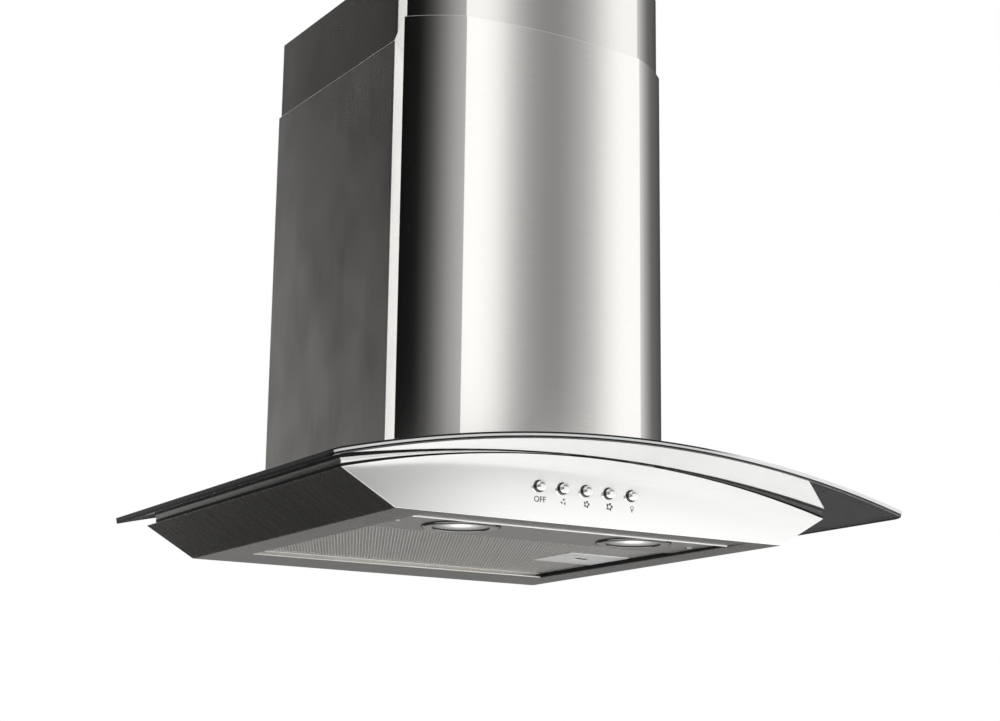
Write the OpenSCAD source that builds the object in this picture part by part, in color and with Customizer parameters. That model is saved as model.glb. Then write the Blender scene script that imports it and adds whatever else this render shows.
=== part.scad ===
// Wall mount range hood: an arched glass canopy, a shallow steel canopy body under it
// and a telescopic chimney with a bowed front.
// Millimetres. X runs across the hood, Y goes into the wall and Z is up.
// The wall is the plane Y = 0. The origin is midway between the two wall screws.
// Modules work from the rim, the canopy's lowest plane, and from_rim() moves them to the origin.

/* [Canopy body] */
// Width across the bottom rim
rim_w = 414; // [400:2:440]
// Width where the slanted sides meet the arched deck
canopy_w = 518; // [500:2:540]
// Depth from the wall to the back of the front panel
canopy_d = 438; // [430:1:455]
// Height of the slanted sides
side_h = 30; // [26:1:36]
// Height of the deck at the middle of its arch
arch_h = 62; // [58:1:70]
// Thickness of the folded steel sheet
sheet_t = 1; // [0.8:0.1:1.4]
// Thickness of the front panel
fascia_t = 1.2; // [1:0.1:2]
// Width of the flat rim along each side
rim_side = 35.5; // [30:0.5:38]
// Width of the flat rim along the front
rim_front = 37; // [32:0.5:40]
// Width of the flat rim along the wall
rim_back = 70; // [60:1:80]
// Height of the turned-up edge around the recess
upstand_h = 13; // [12:0.5:15]
// Height of the wall screws above the rim
wall_screw_z = 28; // [22:1:34]
// Distance between the two wall screws
wall_screw_pitch = 300; // [260:2:320]
// Radius of the wall screw holes
wall_screw_r = 3; // [2.5:0.25:3.5]

/* [Glass] */
// Width of the glass canopy
glass_w = 600; // [580:5:640]
// Depth from the wall to the middle of its front edge
glass_d = 515; // [500:1:530]
// Thickness of the glass
glass_t = 6; // [5:0.5:8]
// How far the front edge bows forward
glass_bow = 6; // [3:0.5:10]
// Gap between the wall and the back edge of the glass
glass_back = 22; // [15:1:30]
// Radius of the glass corners
glass_corner_r = 4; // [2:0.5:10]
// Thickness of the rubber seat at the middle of the arch
seat_t = 1; // [0.6:0.1:2]
// Thickness of the rubber seat at the sides of the deck
seat_edge_t = 5; // [4:0.5:8]
// Width of the rubber seat
seat_w = 12; // [8:1:16]

/* [Lamps] */
// Depth of the lamp plate
lamp_plate_d = 94; // [88:1:100]
// Step up from the rim to the lamp plate
lamp_step = 3; // [2:0.5:4]
// Distance between the two lamps
lamp_pitch = 190; // [170:2:210]
// Outer radius of a lamp ring
lamp_ring_r = 35.5; // [34:0.5:38]
// Radius of the lit opening
lamp_open_r = 26; // [24:0.5:26.5]
// Radius of the lamp glass
lamp_lens_r = 27.5; // [27:0.1:28]
// Height of the lamp cup above the plate
lamp_cup_h = 30; // [26:1:34]

/* [Grease filter] */
// Thickness of the filter frame
filter_t = 8; // [7.6:0.2:8.6]
// Step up from the rim to the filter
filter_step = 4; // [3.5:0.1:4.2]
// Width of the frame's upper channel lip
filter_lip = 10; // [8:0.5:12]
// Width of the frame's lower channel lip
filter_edge = 3; // [2:0.5:5]
// Pitch of the openings in the expanded face
mesh_pitch = 16; // [15:0.5:20]
// Width of the strands between the openings
mesh_strand = 2.4; // [1.8:0.2:3.2]
// Width of one pleat of the core
pleat_w = 9; // [8:0.5:12]
// Side length of the handle plate across the hood
handle_w = 72; // [66:1:78]
// Side length of the handle plate from front to back
handle_l = 71; // [64:1:78]
// Distance from the filter's back edge to the handle's middle
handle_y = 138; // [120:1:150]
// Travel of the latch
latch_travel = 6; // [5:0.5:7]
// Radius of the pivot pins
pin_r = 2; // [1.6:0.1:2.2]

/* [Buttons] */
// Distance between buttons
button_pitch = 24.6; // [22:0.2:27]
// Sideways place of the middle button
button_x = -16; // [-30:1:30]
// Height of the buttons above the rim
button_z = 31.5; // [28:0.5:36]
// Radius of a button
button_r = 4.4; // [4:0.1:5]
// How far a button stands out of the panel
button_out = 6; // [5:0.5:8]
// Travel of a button
button_travel = 2.5; // [2:0.25:3]

/* [Chimney] */
// Width across the chimney's side panels
chimney_w = 260; // [258:1:270]
// Depth of the side panels
chimney_d = 268.5; // [262:0.5:276]
// Width across the front cover's corners
cover_w = 300; // [296:1:310]
// Distance from the wall to the front cover's corners
cover_corner_d = 326; // [318:1:334]
// Distance between the two creases of the front cover
crease_w = 201; // [190:1:210]
// Distance from the wall to the creases
crease_d = 360; // [350:1:366]
// Bow of the front between the creases
front_bow = 8; // [5:0.5:12]
// Bow of each facet between corner and crease
facet_bow = 2.4; // [1:0.2:4]
// Height of the lower section's top above the rim
seam_z = 493; // [470:1:520]
// How far the upper section shows above the lower one
upper_show = 86; // [70:1:120]
// Length of the upper section
upper_l = 420; // [400:5:440]
// Gap between the two sections
slide_gap = 0.5; // [0.4:0.1:0.8]
// Gap between a side panel's lap and the front cover over it
lap_gap = 0.1; // [0.05:0.05:0.3]
// Distance between the two screws of the upper wall bracket
bracket_pitch = 126; // [100:2:130]

/* [Blower] */
// Width of the motor box
box_w = 224; // [220:1:228]
// Depth from the wall to the front of the motor box
box_d = 290; // [286:1:296]
// Height of the motor box's top above the rim
box_z = 295; // [290:1:310]
// Thickness of the hanger plate
hanger_t = 2; // [1.5:0.25:3]
// Distance between the two keyholes of the hanger plate
keyhole_pitch = 162; // [140:2:180]
// Distance from the wall to the fan's axis
fan_d = 172; // [168:1:176]
// Height of the fan's axis above the rim
fan_z = 188; // [185:1:192]
// Outer radius of the impeller
fan_r = 70; // [66:1:72]
// Length of the impeller
fan_w = 88; // [80:1:90]
// Number of blades
blade_count = 30; // [24:1:36]
// Thickness of a blade
blade_t = 0.8; // [0.6:0.1:1]
// Radius of the scroll at its tongue
scroll_r0 = 80; // [78:0.5:82]
// Radius of the scroll at its outlet
scroll_r1 = 117; // [112:1:119]
// Width of the scroll over its side plates
scroll_w = 104; // [102:1:112]
// Radius of the inlets
inlet_r = 56; // [52:1:58]
// Radius of the motor
motor_r = 38; // [34:1:42]
// Radius of the shaft
shaft_r = 4; // [3:0.25:5]

/* [Duct] */
// Outer radius of the duct collar
collar_r = 74.5; // [70:0.5:76]
// Height of the duct collar
collar_h = 50; // [44:1:60]
// Distance from the wall to the collar's axis
collar_d = 100; // [97:1:104]
// Height of the damper's axis above the motor box
damper_z = 10; // [9:0.5:14]
// Radius of the damper rod
rod_r = 1.5; // [1.2:0.1:1.8]

/* [Hidden] */
arc_fn = 360;
round_fn = 96;
small_fn = 48;
glass_rest = 0.03;
fit_gap = 0.3;
run_gap = 0.05;

rim_x = rim_w / 2;
side_x = canopy_w / 2;
side_run = side_x - rim_x;
side_len = norm([side_run, side_h]);
arch_r = (side_x * side_x + pow(arch_h - side_h, 2)) / (2 * (arch_h - side_h));
recess_x = rim_x - rim_side;
fascia_y = -canopy_d - fascia_t;
recess_front = fascia_y + rim_front;
recess_back = -rim_back;

glass_x = glass_w / 2;
glass_low = arch_h + seat_t;
seat_drop = glass_low - side_h - seat_edge_t;
glass_r = (side_x * side_x + seat_drop * seat_drop) / (2 * seat_drop) + glass_t;
glass_drop = glass_r - sqrt(glass_r * glass_r - glass_x * glass_x);
glass_top = glass_low + glass_t;

clamp_w = 30;
clamp_h = 16;
clamp_t = 1.5;

terminal_w = 90;
terminal_d = 64;
terminal_h = 28;

lamp_back = recess_front + lamp_plate_d;
lamp_y = (recess_front + fit_gap + lamp_back) / 2;
lamp_x = lamp_pitch / 2;
lamp_sleeve_r = lamp_lens_r + 2;
lamp_hole_r = lamp_sleeve_r + fit_gap;
lamp_cup_r = lamp_hole_r + 1.4;
lamp_ring_t = 1.8;
plate_screw_x = recess_x - 11;
plate_screw_r = 1.9;

filter_gap_x = 2;
filter_gap_y = 1;
filter_x = recess_x - filter_gap_x;
filter_front = lamp_back + filter_gap_y;
filter_back = recess_back - filter_gap_y;
filter_wall = 0.8;
filter_top = filter_step + filter_t;
pin_inset = 6.5;
pin_x = -filter_x + pin_inset;
pin_z = filter_step + filter_t / 2;
pin_reach = filter_gap_y + sheet_t + 1.5;
pin_inside = 8;
mesh_t = 0.6;
mesh_z = filter_step + filter_wall + 0.1;
core_z = mesh_z + mesh_t + 0.1;
core_top = filter_top - filter_wall - 0.1;
handle_x1 = filter_x - filter_wall - 0.2;
handle_x0 = handle_x1 - handle_w;
handle_yc = filter_back - handle_y;
handle_t = 0.8;
pocket_x = handle_x0 + 14;
thumb_x = (handle_x0 + handle_x1) / 2;
thumb_l = 9;
thumb_w = 11;
thumb_slot_l = thumb_l + latch_travel + 1;
latch_t = 1.6;
latch_z = core_top - handle_t - latch_t - 0.2;
tongue_w = 14;

switch_l = 4 * button_pitch + 26;
switch_d = 22;
switch_h = 18;
bezel_r = button_r + 1.2;
bezel_out = 1.6;
stem_r = 2;
stem_l = 12;
button_root = 1.2;

cover_x = cover_w / 2;
chimney_x = chimney_w / 2;
crease_x = crease_w / 2;
section_inset = 2 * sheet_t + lap_gap + slide_gap;
upper_top = seam_z + upper_show;
upper_z = upper_top - upper_l;
lap_l = 18;
bracket_t = 1.5;
bracket_z = upper_top - 45;
bracket_h = 24;
bracket_arm = 60;
bracket_hole_r = 2.5;
foot_y = -155;
foot_w = 30;
foot_t = 1.5;

box_x = box_w / 2;
box_t = 1;
deck_lip = 4;
hanger_x = chimney_x - section_inset - sheet_t - foot_t;
hanger_z = box_z + 50;
keyhole_z = box_z + 24;
keyhole_x = keyhole_pitch / 2;
keyhole_r = 6;
neck_r = 2.75;
neck_l = 13;
gland_x = -box_x + 30;
gland_y = -box_d + 34;
gland_thread_r = 5.9;
gland_bore_r = 3.6;
tongue_angle = 65;
scroll_t = 1.2;
scroll_plate_x = scroll_w / 2 - scroll_t;
scroll_top = box_z - box_t;
outlet_y0 = -fan_d + scroll_r0 * cos(tongue_angle);
outlet_y1 = -fan_d + scroll_r1;
blade_depth = fan_r * 0.2;
hoop_w = 3;
hub_r = shaft_r + 8;
hub_l = 26;
motor_x0 = hub_l / 2 + 2;
motor_x1 = scroll_w / 2 + 26;
shaft_in = 22;
bell_r = 7.5;
strap_t = 3;
arm_w = 12;
arm_t = 5;
arm_x = scroll_w / 2 + 8;
arm_r = inlet_r + 20;
inlet_t = 1;

collar_t = 1.2;
collar_in = collar_r - collar_t;
collar_flange = collar_r + 8;
rod_z = box_z + damper_z;
flap_t = 1;
seat_step = 3.5;
seat_top = damper_z - flap_t / 2 - 0.3;
flap_r = collar_in - 1.5;
flap_edge = rod_r + 1.8;
knuckle_r = rod_r + 1.3;
knuckle_l = 16;
knuckle_step = 24;

// Outward normal on the right-hand side of the step from a to b.
function step_normal(a, b) = [b[1] - a[1], a[0] - b[0]] / norm(b - a);

// The path moved sideways by d, to the right of its direction, with mitred bends.
function shifted(path, d) = [
    for (i = [0 : len(path) - 1])
        let (
            before = step_normal(path[max(i - 1, 0)], path[max(i, 1)]),
            after = step_normal(path[min(i, len(path) - 2)], path[min(i + 1, len(path) - 1)])
        )
        path[i] + d * (before + after) / (1 + before * after)
];

function reversed(path) = [for (i = [len(path) - 1 : -1 : 0]) path[i]];

// Points of the arc from a to b that bows by rise to the right of that direction.
function bowed(a, b, rise, count) =
    let (
        half = norm(b - a) / 2,
        radius = (half * half + rise * rise) / (2 * rise),
        side = step_normal(a, b),
        centre = (a + b) / 2 - (radius - rise) * side,
        span = asin(half / radius)
    )
    [
        for (i = [0 : count])
            let (t = span * (2 * i / count - 1))
            centre + radius * (cos(t) * side + sin(t) * (b - a) / (2 * half))
    ];

module from_rim() translate([0, 0, -wall_screw_z]) children();

// Extrudes an XZ outline from Y = 0 towards the room.
module to_room(d) rotate([90, 0, 0]) linear_extrude(d) children();

// Extrudes a YZ outline along X, centred on X = 0.
module across(w) translate([-w / 2, 0, 0]) rotate([90, 0, 90]) linear_extrude(w) children();

// A sheet of thickness t with one face on the path and the metal on the path's right.
module bent_sheet(path, t) polygon(concat(path, reversed(shifted(path, t))));

// A box given by its two opposite corners.
module block(low, high) translate(low) cube(high - low);

// Cylinder along X, Y or Z from a start point.
module rod_x(start, r, l) translate(start) rotate([0, 90, 0]) cylinder(r = r, h = l, $fn = small_fn);
module rod_y(start, r, l) translate(start) rotate([-90, 0, 0]) cylinder(r = r, h = l, $fn = small_fn);
module rod_z(start, r, l) translate(start) cylinder(r = r, h = l, $fn = small_fn);

// Cross-section of the canopy, drawn in by t on every side.
module canopy_outline(t) {
    slope = side_run / side_h;
    foot = rim_x - t * side_len / side_h;
    intersection() {
        translate([0, arch_h - arch_r]) circle(r = arch_r - t, $fn = arc_fn);
        polygon([
            [-foot - slope * t, t], [foot + slope * t, t],
            [foot + slope * arch_h, arch_h], [-foot - slope * arch_h, arch_h]
        ]);
    }
}

// Everything above the glass's top face, a hair clear of it.
module above_glass() {
    end_z = glass_top - glass_drop + glass_rest;
    arc = bowed([glass_x, end_z], [-glass_x, end_z], glass_drop, 64);
    to_room(glass_d) polygon(concat([[-glass_x, upper_top], [glass_x, upper_top]], arc));
}

// Outer line of one side panel, from the wall to the lap behind the front cover.
function side_path(inset) =
    let (
        corner = [chimney_x, -chimney_d],
        flare = [cover_x, -cover_corner_d] - corner,
        along = flare / norm(flare),
        lap = corner + (sheet_t + lap_gap) * [along[1], -along[0]]
    )
    shifted([[chimney_x, 0], [chimney_x, -chimney_d + 3], lap, lap + lap_l * along], inset);

// Outer line of the front cover, from its right-hand edge round to the left-hand one.
function cover_path(inset) =
    let (
        right = [
            [chimney_x, -chimney_d],
            [cover_x, -cover_corner_d]
        ],
        facet = bowed([cover_x, -cover_corner_d], [crease_x, -crease_d], -facet_bow, 8),
        middle = bowed([crease_x, -crease_d], [-crease_x, -crease_d], -front_bow, 20),
        half = concat(right, [for (i = [1 : 8]) facet[i]]),
        path = concat(half, [for (i = [1 : 19]) middle[i]], [for (p = reversed(half)) [-p[0], p[1]]])
    )
    shifted(path, inset);

module canopy_shell() {
    color("silver") from_rim() difference() {
        union() {
            difference() {
                to_room(canopy_d) canopy_outline(0);
                translate([0, -sheet_t, 0]) to_room(canopy_d) canopy_outline(sheet_t);
                block([-recess_x, recess_front, -1], [recess_x, recess_back, sheet_t + 1]);
            }
            difference() {
                block([-recess_x - sheet_t, recess_front - sheet_t, 0],
                      [recess_x + sheet_t, recess_back + sheet_t, upstand_h]);
                block([-recess_x, recess_front, -1], [recess_x, recess_back, upstand_h + 1]);
            }
        }
        block([-box_x + box_t + deck_lip, -box_d + box_t + deck_lip, upstand_h + 2],
              [box_x - box_t - deck_lip, -hanger_t - box_t - deck_lip, arch_h + 1]);
        for (s = [-1, 1])
            rod_y([s * wall_screw_pitch / 2, -sheet_t - 1, wall_screw_z], wall_screw_r, sheet_t + 2);
        rod_y([pin_x, recess_back - 1, pin_z], pin_r + run_gap, sheet_t + 2);
    }
}

module front_fascia() {
    color("gainsboro") from_rim() difference() {
        translate([0, -canopy_d, 0]) to_room(fascia_t) canopy_outline(0);
        for (i = [-2 : 2])
            rod_y([button_x + i * button_pitch, fascia_y - 1, button_z],
                  button_r + run_gap + 0.5, fascia_t + 2);
    }
}

// Plan of the glass: bowed front, small round corners and a notch for the motor box.
module glass_plan() {
    front = bowed([-glass_x, -glass_d + glass_bow], [glass_x, -glass_d + glass_bow], glass_bow, 32);
    difference() {
        polygon(concat(front, [[glass_x, -glass_back], [-glass_x, -glass_back]]));
        for (s = [-1, 1]) glass_corner(s);
        translate([-box_x - fit_gap, -box_d - fit_gap])
            square([box_w + 2 * fit_gap, box_d]);
    }
}

// The waste outside one round front corner.
module glass_corner(s) {
    x = s * (glass_x - glass_corner_r);
    y = -glass_d + glass_bow + glass_corner_r;
    difference() {
        translate([min(x, x + s * (glass_corner_r + 1)), y - glass_corner_r - 1])
            square([glass_corner_r + 1, glass_corner_r + 1]);
        translate([x, y]) circle(r = glass_corner_r, $fn = small_fn);
    }
}

module glass_canopy() {
    color([0.75, 0.85, 0.85, 0.45]) from_rim() intersection() {
        linear_extrude(glass_top + 1) glass_plan();
        translate([0, 0, glass_top - glass_r]) rotate([90, 0, 0]) difference() {
            cylinder(r = glass_r, h = glass_d + 1, $fn = arc_fn);
            translate([0, 0, -1]) cylinder(r = glass_r - glass_t, h = glass_d + 3, $fn = arc_fn);
        }
    }
}

// Rubber seat that fills the wedge between the arched deck and the flatter arch of the glass.
module glass_seat() {
    side_y = -glass_back - 4;
    color([0.08, 0.08, 0.08]) from_rim() difference() {
        intersection() {
            block([-side_x, -canopy_d, side_h], [side_x, side_y, glass_top]);
            translate([0, 0, glass_top - glass_r]) rotate([90, 0, 0])
                cylinder(r = glass_r - glass_t, h = glass_d, $fn = arc_fn);
        }
        translate([0, 0, arch_h - arch_r]) rotate([90, 0, 0])
            cylinder(r = arch_r, h = glass_d, $fn = arc_fn);
        block([-side_x + seat_w, -canopy_d + seat_w, 0], [side_x - seat_w, 0, glass_top + 1]);
    }
}

// Two angle brackets on the front wall of the motor box that hold the glass down.
module glass_clamps() {
    color("silver") from_rim() intersection() {
        above_glass();
        for (s = [-1, 1]) translate([s * box_x / 2, 0, 0]) union() {
            block([-clamp_w / 2, -box_d - clamp_t, 0], [clamp_w / 2, -box_d, glass_top + clamp_h]);
            block([-clamp_w / 2, -box_d - clamp_h, 0], [clamp_w / 2, -box_d, glass_top + clamp_t / 3]);
        }
    }
}

module lamp_plate() {
    flange_top = lamp_step + sheet_t + filter_t + 1;
    color("silver") from_rim() difference() {
        union() {
            block([-recess_x + fit_gap, recess_front + fit_gap, lamp_step],
                  [recess_x - fit_gap, lamp_back, lamp_step + sheet_t]);
            block([-recess_x + fit_gap, lamp_back - sheet_t, lamp_step],
                  [recess_x - fit_gap, lamp_back, flange_top]);
            block([-recess_x + fit_gap, recess_front + fit_gap, lamp_step],
                  [recess_x - fit_gap, recess_front + fit_gap + sheet_t, flange_top]);
        }
        for (s = [-1, 1]) {
            rod_z([s * lamp_x, lamp_y, lamp_step - 1], lamp_hole_r, sheet_t + 2);
            rod_z([s * plate_screw_x, lamp_y, lamp_step - 1], plate_screw_r + 0.1, sheet_t + 2);
        }
        rod_y([pin_x, lamp_back - sheet_t - 1, pin_z], pin_r + run_gap, sheet_t + 2);
    }
}

module lamp_plate_screws() {
    head_h = 1.4;
    color("silver") from_rim() for (s = [-1, 1]) translate([s * plate_screw_x, lamp_y, lamp_step]) {
        translate([0, 0, -head_h]) cylinder(r1 = 2.6, r2 = 3.6, h = head_h, $fn = small_fn);
        cylinder(r = plate_screw_r, h = 8, $fn = small_fn);
    }
}

// Turned ring: a bevelled flange under the plate, a seat for the glass and a sleeve above.
module lamp_ring(s) {
    z0 = lamp_step - lamp_ring_t;
    color("gainsboro") from_rim() translate([s * lamp_x, lamp_y, z0]) rotate_extrude($fn = round_fn)
        polygon([
            [lamp_open_r, 0], [lamp_ring_r - 1.2, 0], [lamp_ring_r, 0.8], [lamp_ring_r, lamp_ring_t],
            [lamp_sleeve_r, lamp_ring_t], [lamp_sleeve_r, lamp_ring_t + 9],
            [lamp_lens_r + run_gap, lamp_ring_t + 9], [lamp_lens_r + run_gap, lamp_ring_t],
            [lamp_open_r, lamp_ring_t]
        ]);
}
module lamp_ring_left() lamp_ring(-1);
module lamp_ring_right() lamp_ring(1);

module lamp_lens(s) {
    color([0.95, 0.95, 0.88]) from_rim() translate([s * lamp_x, lamp_y, lamp_step])
        cylinder(r = lamp_lens_r, h = 2, $fn = round_fn);
}
module lamp_lens_left() lamp_lens(-1);
module lamp_lens_right() lamp_lens(1);

// Reflector cup that stands on the plate round the ring's sleeve.
module lamp_cup(s) {
    color("lightgray") from_rim() translate([s * lamp_x, lamp_y, lamp_step + sheet_t])
        rotate_extrude($fn = round_fn) polygon([
            [lamp_hole_r, 0], [lamp_cup_r + 3, 0], [lamp_cup_r + 3, 1], [lamp_cup_r, 1],
            [lamp_cup_r, lamp_cup_h - 12], [12, lamp_cup_h], [0, lamp_cup_h], [0, lamp_cup_h - 1.2],
            [11.4, lamp_cup_h - 1.2], [lamp_hole_r, lamp_cup_h - 12.6]
        ]);
}
module lamp_cup_left() lamp_cup(-1);
module lamp_cup_right() lamp_cup(1);

// Capsule bulb on its ceramic base, under the cup's crown.
module lamp_bulb(s) {
    color("white") from_rim() translate([s * lamp_x, lamp_y, lamp_step + sheet_t + lamp_cup_h - 1.2])
        mirror([0, 0, 1]) rotate_extrude($fn = small_fn) polygon([
            [0, 0], [7, 0], [7, 8], [4.5, 9], [4.5, 16], [3.5, 18.5], [1.5, 20], [0, 20]
        ]);
}
module lamp_bulb_left() lamp_bulb(-1);
module lamp_bulb_right() lamp_bulb(1);

// Channel frame, open towards the middle, with holes for the pins and the latch tongue.
module filter_frame() {
    color("silver") from_rim() difference() {
        block([-filter_x, filter_front, filter_step], [filter_x, filter_back, filter_top]);
        block([-filter_x + filter_wall, filter_front + filter_wall, filter_step + filter_wall],
              [filter_x - filter_wall, filter_back - filter_wall, filter_top - filter_wall]);
        block([-filter_x + filter_lip, filter_front + filter_lip, filter_step + 1],
              [filter_x - filter_lip, filter_back - filter_lip, filter_top + 1]);
        block([-filter_x + filter_edge, filter_front + filter_edge, filter_step - 1],
              [filter_x - filter_edge, filter_back - filter_edge, filter_step + filter_wall + 0.1]);
        block([handle_x0 - fit_gap, handle_yc - handle_l / 2 - fit_gap, filter_step - 1],
              [filter_x - filter_wall, handle_yc + handle_l / 2 + fit_gap, filter_top - filter_wall]);
        rod_y([pin_x, filter_front - 1, pin_z], pin_r, filter_wall + 2);
        rod_y([pin_x, filter_back - filter_wall - 1, pin_z], pin_r, filter_wall + 2);
        block([filter_x - 2, handle_yc - tongue_w / 2 - fit_gap, latch_z - fit_gap],
              [filter_x + 1, handle_yc + tongue_w / 2 + fit_gap, latch_z + latch_t + fit_gap]);
    }
}

// Room that the handle and its pocket take out of the mesh and the core.
module handle_room(z0, z1) {
    block([handle_x0 - fit_gap, handle_yc - handle_l / 2 - fit_gap, z0],
          [filter_x, handle_yc + handle_l / 2 + fit_gap, z1]);
}

// Face with a grid of diamond openings, left whole beside the handle.
module filter_mesh() {
    half_x = filter_x - filter_wall - 0.2;
    y0 = filter_front + filter_wall + 0.2;
    y1 = filter_back - filter_wall - 0.2;
    window_x = filter_x - filter_edge - mesh_strand;
    window_y0 = filter_front + filter_edge + mesh_strand;
    window_y1 = filter_back - filter_edge - mesh_strand;
    columns = floor(2 * window_x / mesh_pitch);
    rows = floor((window_y1 - window_y0) / mesh_pitch);
    hole_r = mesh_pitch / 2 - mesh_strand / 2;
    color("lightgray") from_rim() difference() {
        block([-half_x, y0, mesh_z], [half_x, y1, mesh_z + mesh_t]);
        handle_room(mesh_z - 1, mesh_z + mesh_t + 1);
        for (row = [0 : rows - 1], column = [0 : columns - 1]) {
            x = (column - (columns - 1) / 2) * mesh_pitch;
            y = window_y0 + (row + 0.5) * mesh_pitch;
            beside = x > handle_x0 - mesh_pitch / 2
                && abs(y - handle_yc) < handle_l / 2 + mesh_pitch / 2;
            if (!beside)
                translate([x, y, mesh_z - 1]) cylinder(r = hole_r, h = mesh_t + 2, $fn = 4);
        }
    }
}

// Pleated core behind the face, cut away for the handle and at the two pins.
module filter_core() {
    half_x = filter_x - filter_wall - 0.4;
    pleats = floor(2 * half_x / pleat_w);
    sheet = 0.4;
    path = [
        for (i = [0 : 2 * pleats])
            [(i - pleats) * pleat_w / 2, i % 2 == 0 ? core_z + 0.5 : core_top - 0.5]
    ];
    y0 = filter_front + filter_wall + 0.2;
    y1 = filter_back - filter_wall - 0.2;
    color("darkgray") from_rim() difference() {
        translate([0, y1, 0]) to_room(y1 - y0) bent_sheet(path, sheet);
        handle_room(core_z - 1, core_top + 1);
        for (y = [filter_front, filter_back])
            block([-half_x - 1, y - pin_inside - 1, core_z - 1],
                  [pin_x + pin_r + 1, y + pin_inside + 1, core_top + 1]);
    }
}

// Pressed handle plate with a thumb slot and a pocket behind it for the latch.
module filter_handle() {
    y0 = handle_yc - handle_l / 2;
    y1 = handle_yc + handle_l / 2;
    pocket_y = tongue_w / 2 + 6;
    color("silver") from_rim() difference() {
        union() {
            block([handle_x0, y0, filter_step], [handle_x1, y1, filter_step + handle_t]);
            block([pocket_x, handle_yc - pocket_y, filter_step],
                  [handle_x1, handle_yc + pocket_y, core_top]);
        }
        block([pocket_x + handle_t, handle_yc - pocket_y + handle_t, filter_step + handle_t],
              [handle_x1 - handle_t, handle_yc + pocket_y - handle_t, core_top - handle_t]);
        block([thumb_x - thumb_slot_l / 2, handle_yc - thumb_w / 2 - fit_gap, filter_step - 1],
              [thumb_x + thumb_slot_l / 2, handle_yc + thumb_w / 2 + fit_gap, filter_step + 2]);
        block([handle_x1 - 2, handle_yc - tongue_w / 2 - fit_gap, latch_z - fit_gap],
              [handle_x1 + 1, handle_yc + tongue_w / 2 + fit_gap, latch_z + latch_t + fit_gap]);
    }
}

// Pivot pins that carry the filter at its left-hand corners.
module filter_pins() {
    color("gray") from_rim() {
        rod_y([pin_x, filter_front - pin_reach, pin_z], pin_r, pin_reach + pin_inside);
        rod_y([pin_x, filter_back - pin_inside, pin_z], pin_r, pin_reach + pin_inside);
    }
}

// Latch: a slide in the pocket, a ribbed thumb piece in the slot and a tongue through the frame.
module filter_latch() {
    slide_w = tongue_w + 8;
    x1 = thumb_x + thumb_slot_l / 2 - 0.5;
    z_face = filter_step + 0.4;
    color("dimgray") from_rim() difference() {
        union() {
            block([x1 - thumb_l - 4, handle_yc - slide_w / 2, latch_z],
                  [x1 + 4, handle_yc + slide_w / 2, latch_z + latch_t]);
            block([x1, handle_yc - tongue_w / 2, latch_z],
                  [recess_x - fit_gap, handle_yc + tongue_w / 2, latch_z + latch_t]);
            block([x1 - thumb_l, handle_yc - thumb_w / 2, z_face],
                  [x1, handle_yc + thumb_w / 2, latch_z + latch_t]);
        }
        for (i = [1 : 3])
            block([x1 - thumb_l + i * thumb_l / 4 - 0.5, handle_yc - thumb_w / 2 - 1, z_face - 1],
                  [x1 - thumb_l + i * thumb_l / 4 + 0.5, handle_yc + thumb_w / 2 + 1, z_face + 0.6]);
    }
}

// Turned button: domed cap, running shank and the stem that works its switch.
module button(i) {
    shank = button_out + fascia_t + button_root;
    color("silver") from_rim() translate([button_x + i * button_pitch, fascia_y - button_out, button_z])
        rotate([-90, 0, 0]) rotate_extrude($fn = small_fn) polygon([
            [0, 0], [button_r * 0.55, 0.15], [button_r * 0.85, 0.6], [button_r, 1.4], [button_r, shank],
            [stem_r, shank], [stem_r, shank + stem_l], [0, shank + stem_l]
        ]);
}
module button_off() button(-2);
module button_low() button(-1);
module button_mid() button(0);
module button_high() button(1);
module button_light() button(2);

// Rings that line the button holes.
module button_rings() {
    bore = button_r + run_gap;
    color("gainsboro") from_rim() for (i = [-2 : 2])
        translate([button_x + i * button_pitch, fascia_y - bezel_out, button_z])
            rotate([-90, 0, 0]) rotate_extrude($fn = small_fn) polygon([
                [bore, 0], [bezel_r - 0.5, 0], [bezel_r, 0.5], [bezel_r, bezel_out],
                [bore + 0.5, bezel_out], [bore + 0.5, bezel_out + fascia_t], [bore, bezel_out + fascia_t]
            ]);
}

// Switch block screwed behind the front panel, one counterbored guide for each button.
module switch_block() {
    guide_l = button_root + stem_l + button_travel + 1;
    room_l = button_root + button_travel + 1;
    color([0.15, 0.15, 0.15]) from_rim() difference() {
        block([button_x - switch_l / 2, -canopy_d, button_z - switch_h / 2],
              [button_x + switch_l / 2, -canopy_d + switch_d, button_z + switch_h / 2]);
        for (i = [-2 : 2]) {
            rod_y([button_x + i * button_pitch, -canopy_d - 1, button_z], button_r + 0.6, room_l + 1);
            rod_y([button_x + i * button_pitch, -canopy_d - 1, button_z], stem_r + 0.1, guide_l + 1);
        }
    }
}

// Terminal box under the deck, shaped to the arch.
module control_box() {
    color([0.85, 0.85, 0.82]) from_rim() intersection() {
        block([-terminal_w / 2, lamp_y - terminal_d / 2, arch_h - terminal_h],
              [terminal_w / 2, lamp_y + terminal_d / 2, arch_h + 1]);
        to_room(canopy_d) canopy_outline(sheet_t);
    }
}

// Plate that the hood hangs by, with two keyholes above the motor box.
module hanger_plate() {
    cut = 14;
    color("silver") from_rim() difference() {
        to_room(hanger_t) difference() {
            polygon([
                [-hanger_x, side_h], [hanger_x, side_h], [hanger_x, hanger_z - cut],
                [hanger_x - cut, hanger_z], [-hanger_x + cut, hanger_z], [-hanger_x, hanger_z - cut]
            ]);
            canopy_outline(0);
            for (s = [-1, 1]) translate([s * keyhole_x, keyhole_z]) {
                circle(r = keyhole_r, $fn = small_fn);
                translate([-neck_r, 0]) square([2 * neck_r, neck_l]);
                translate([0, neck_l]) circle(r = neck_r, $fn = small_fn);
            }
        }
    }
}

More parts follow.
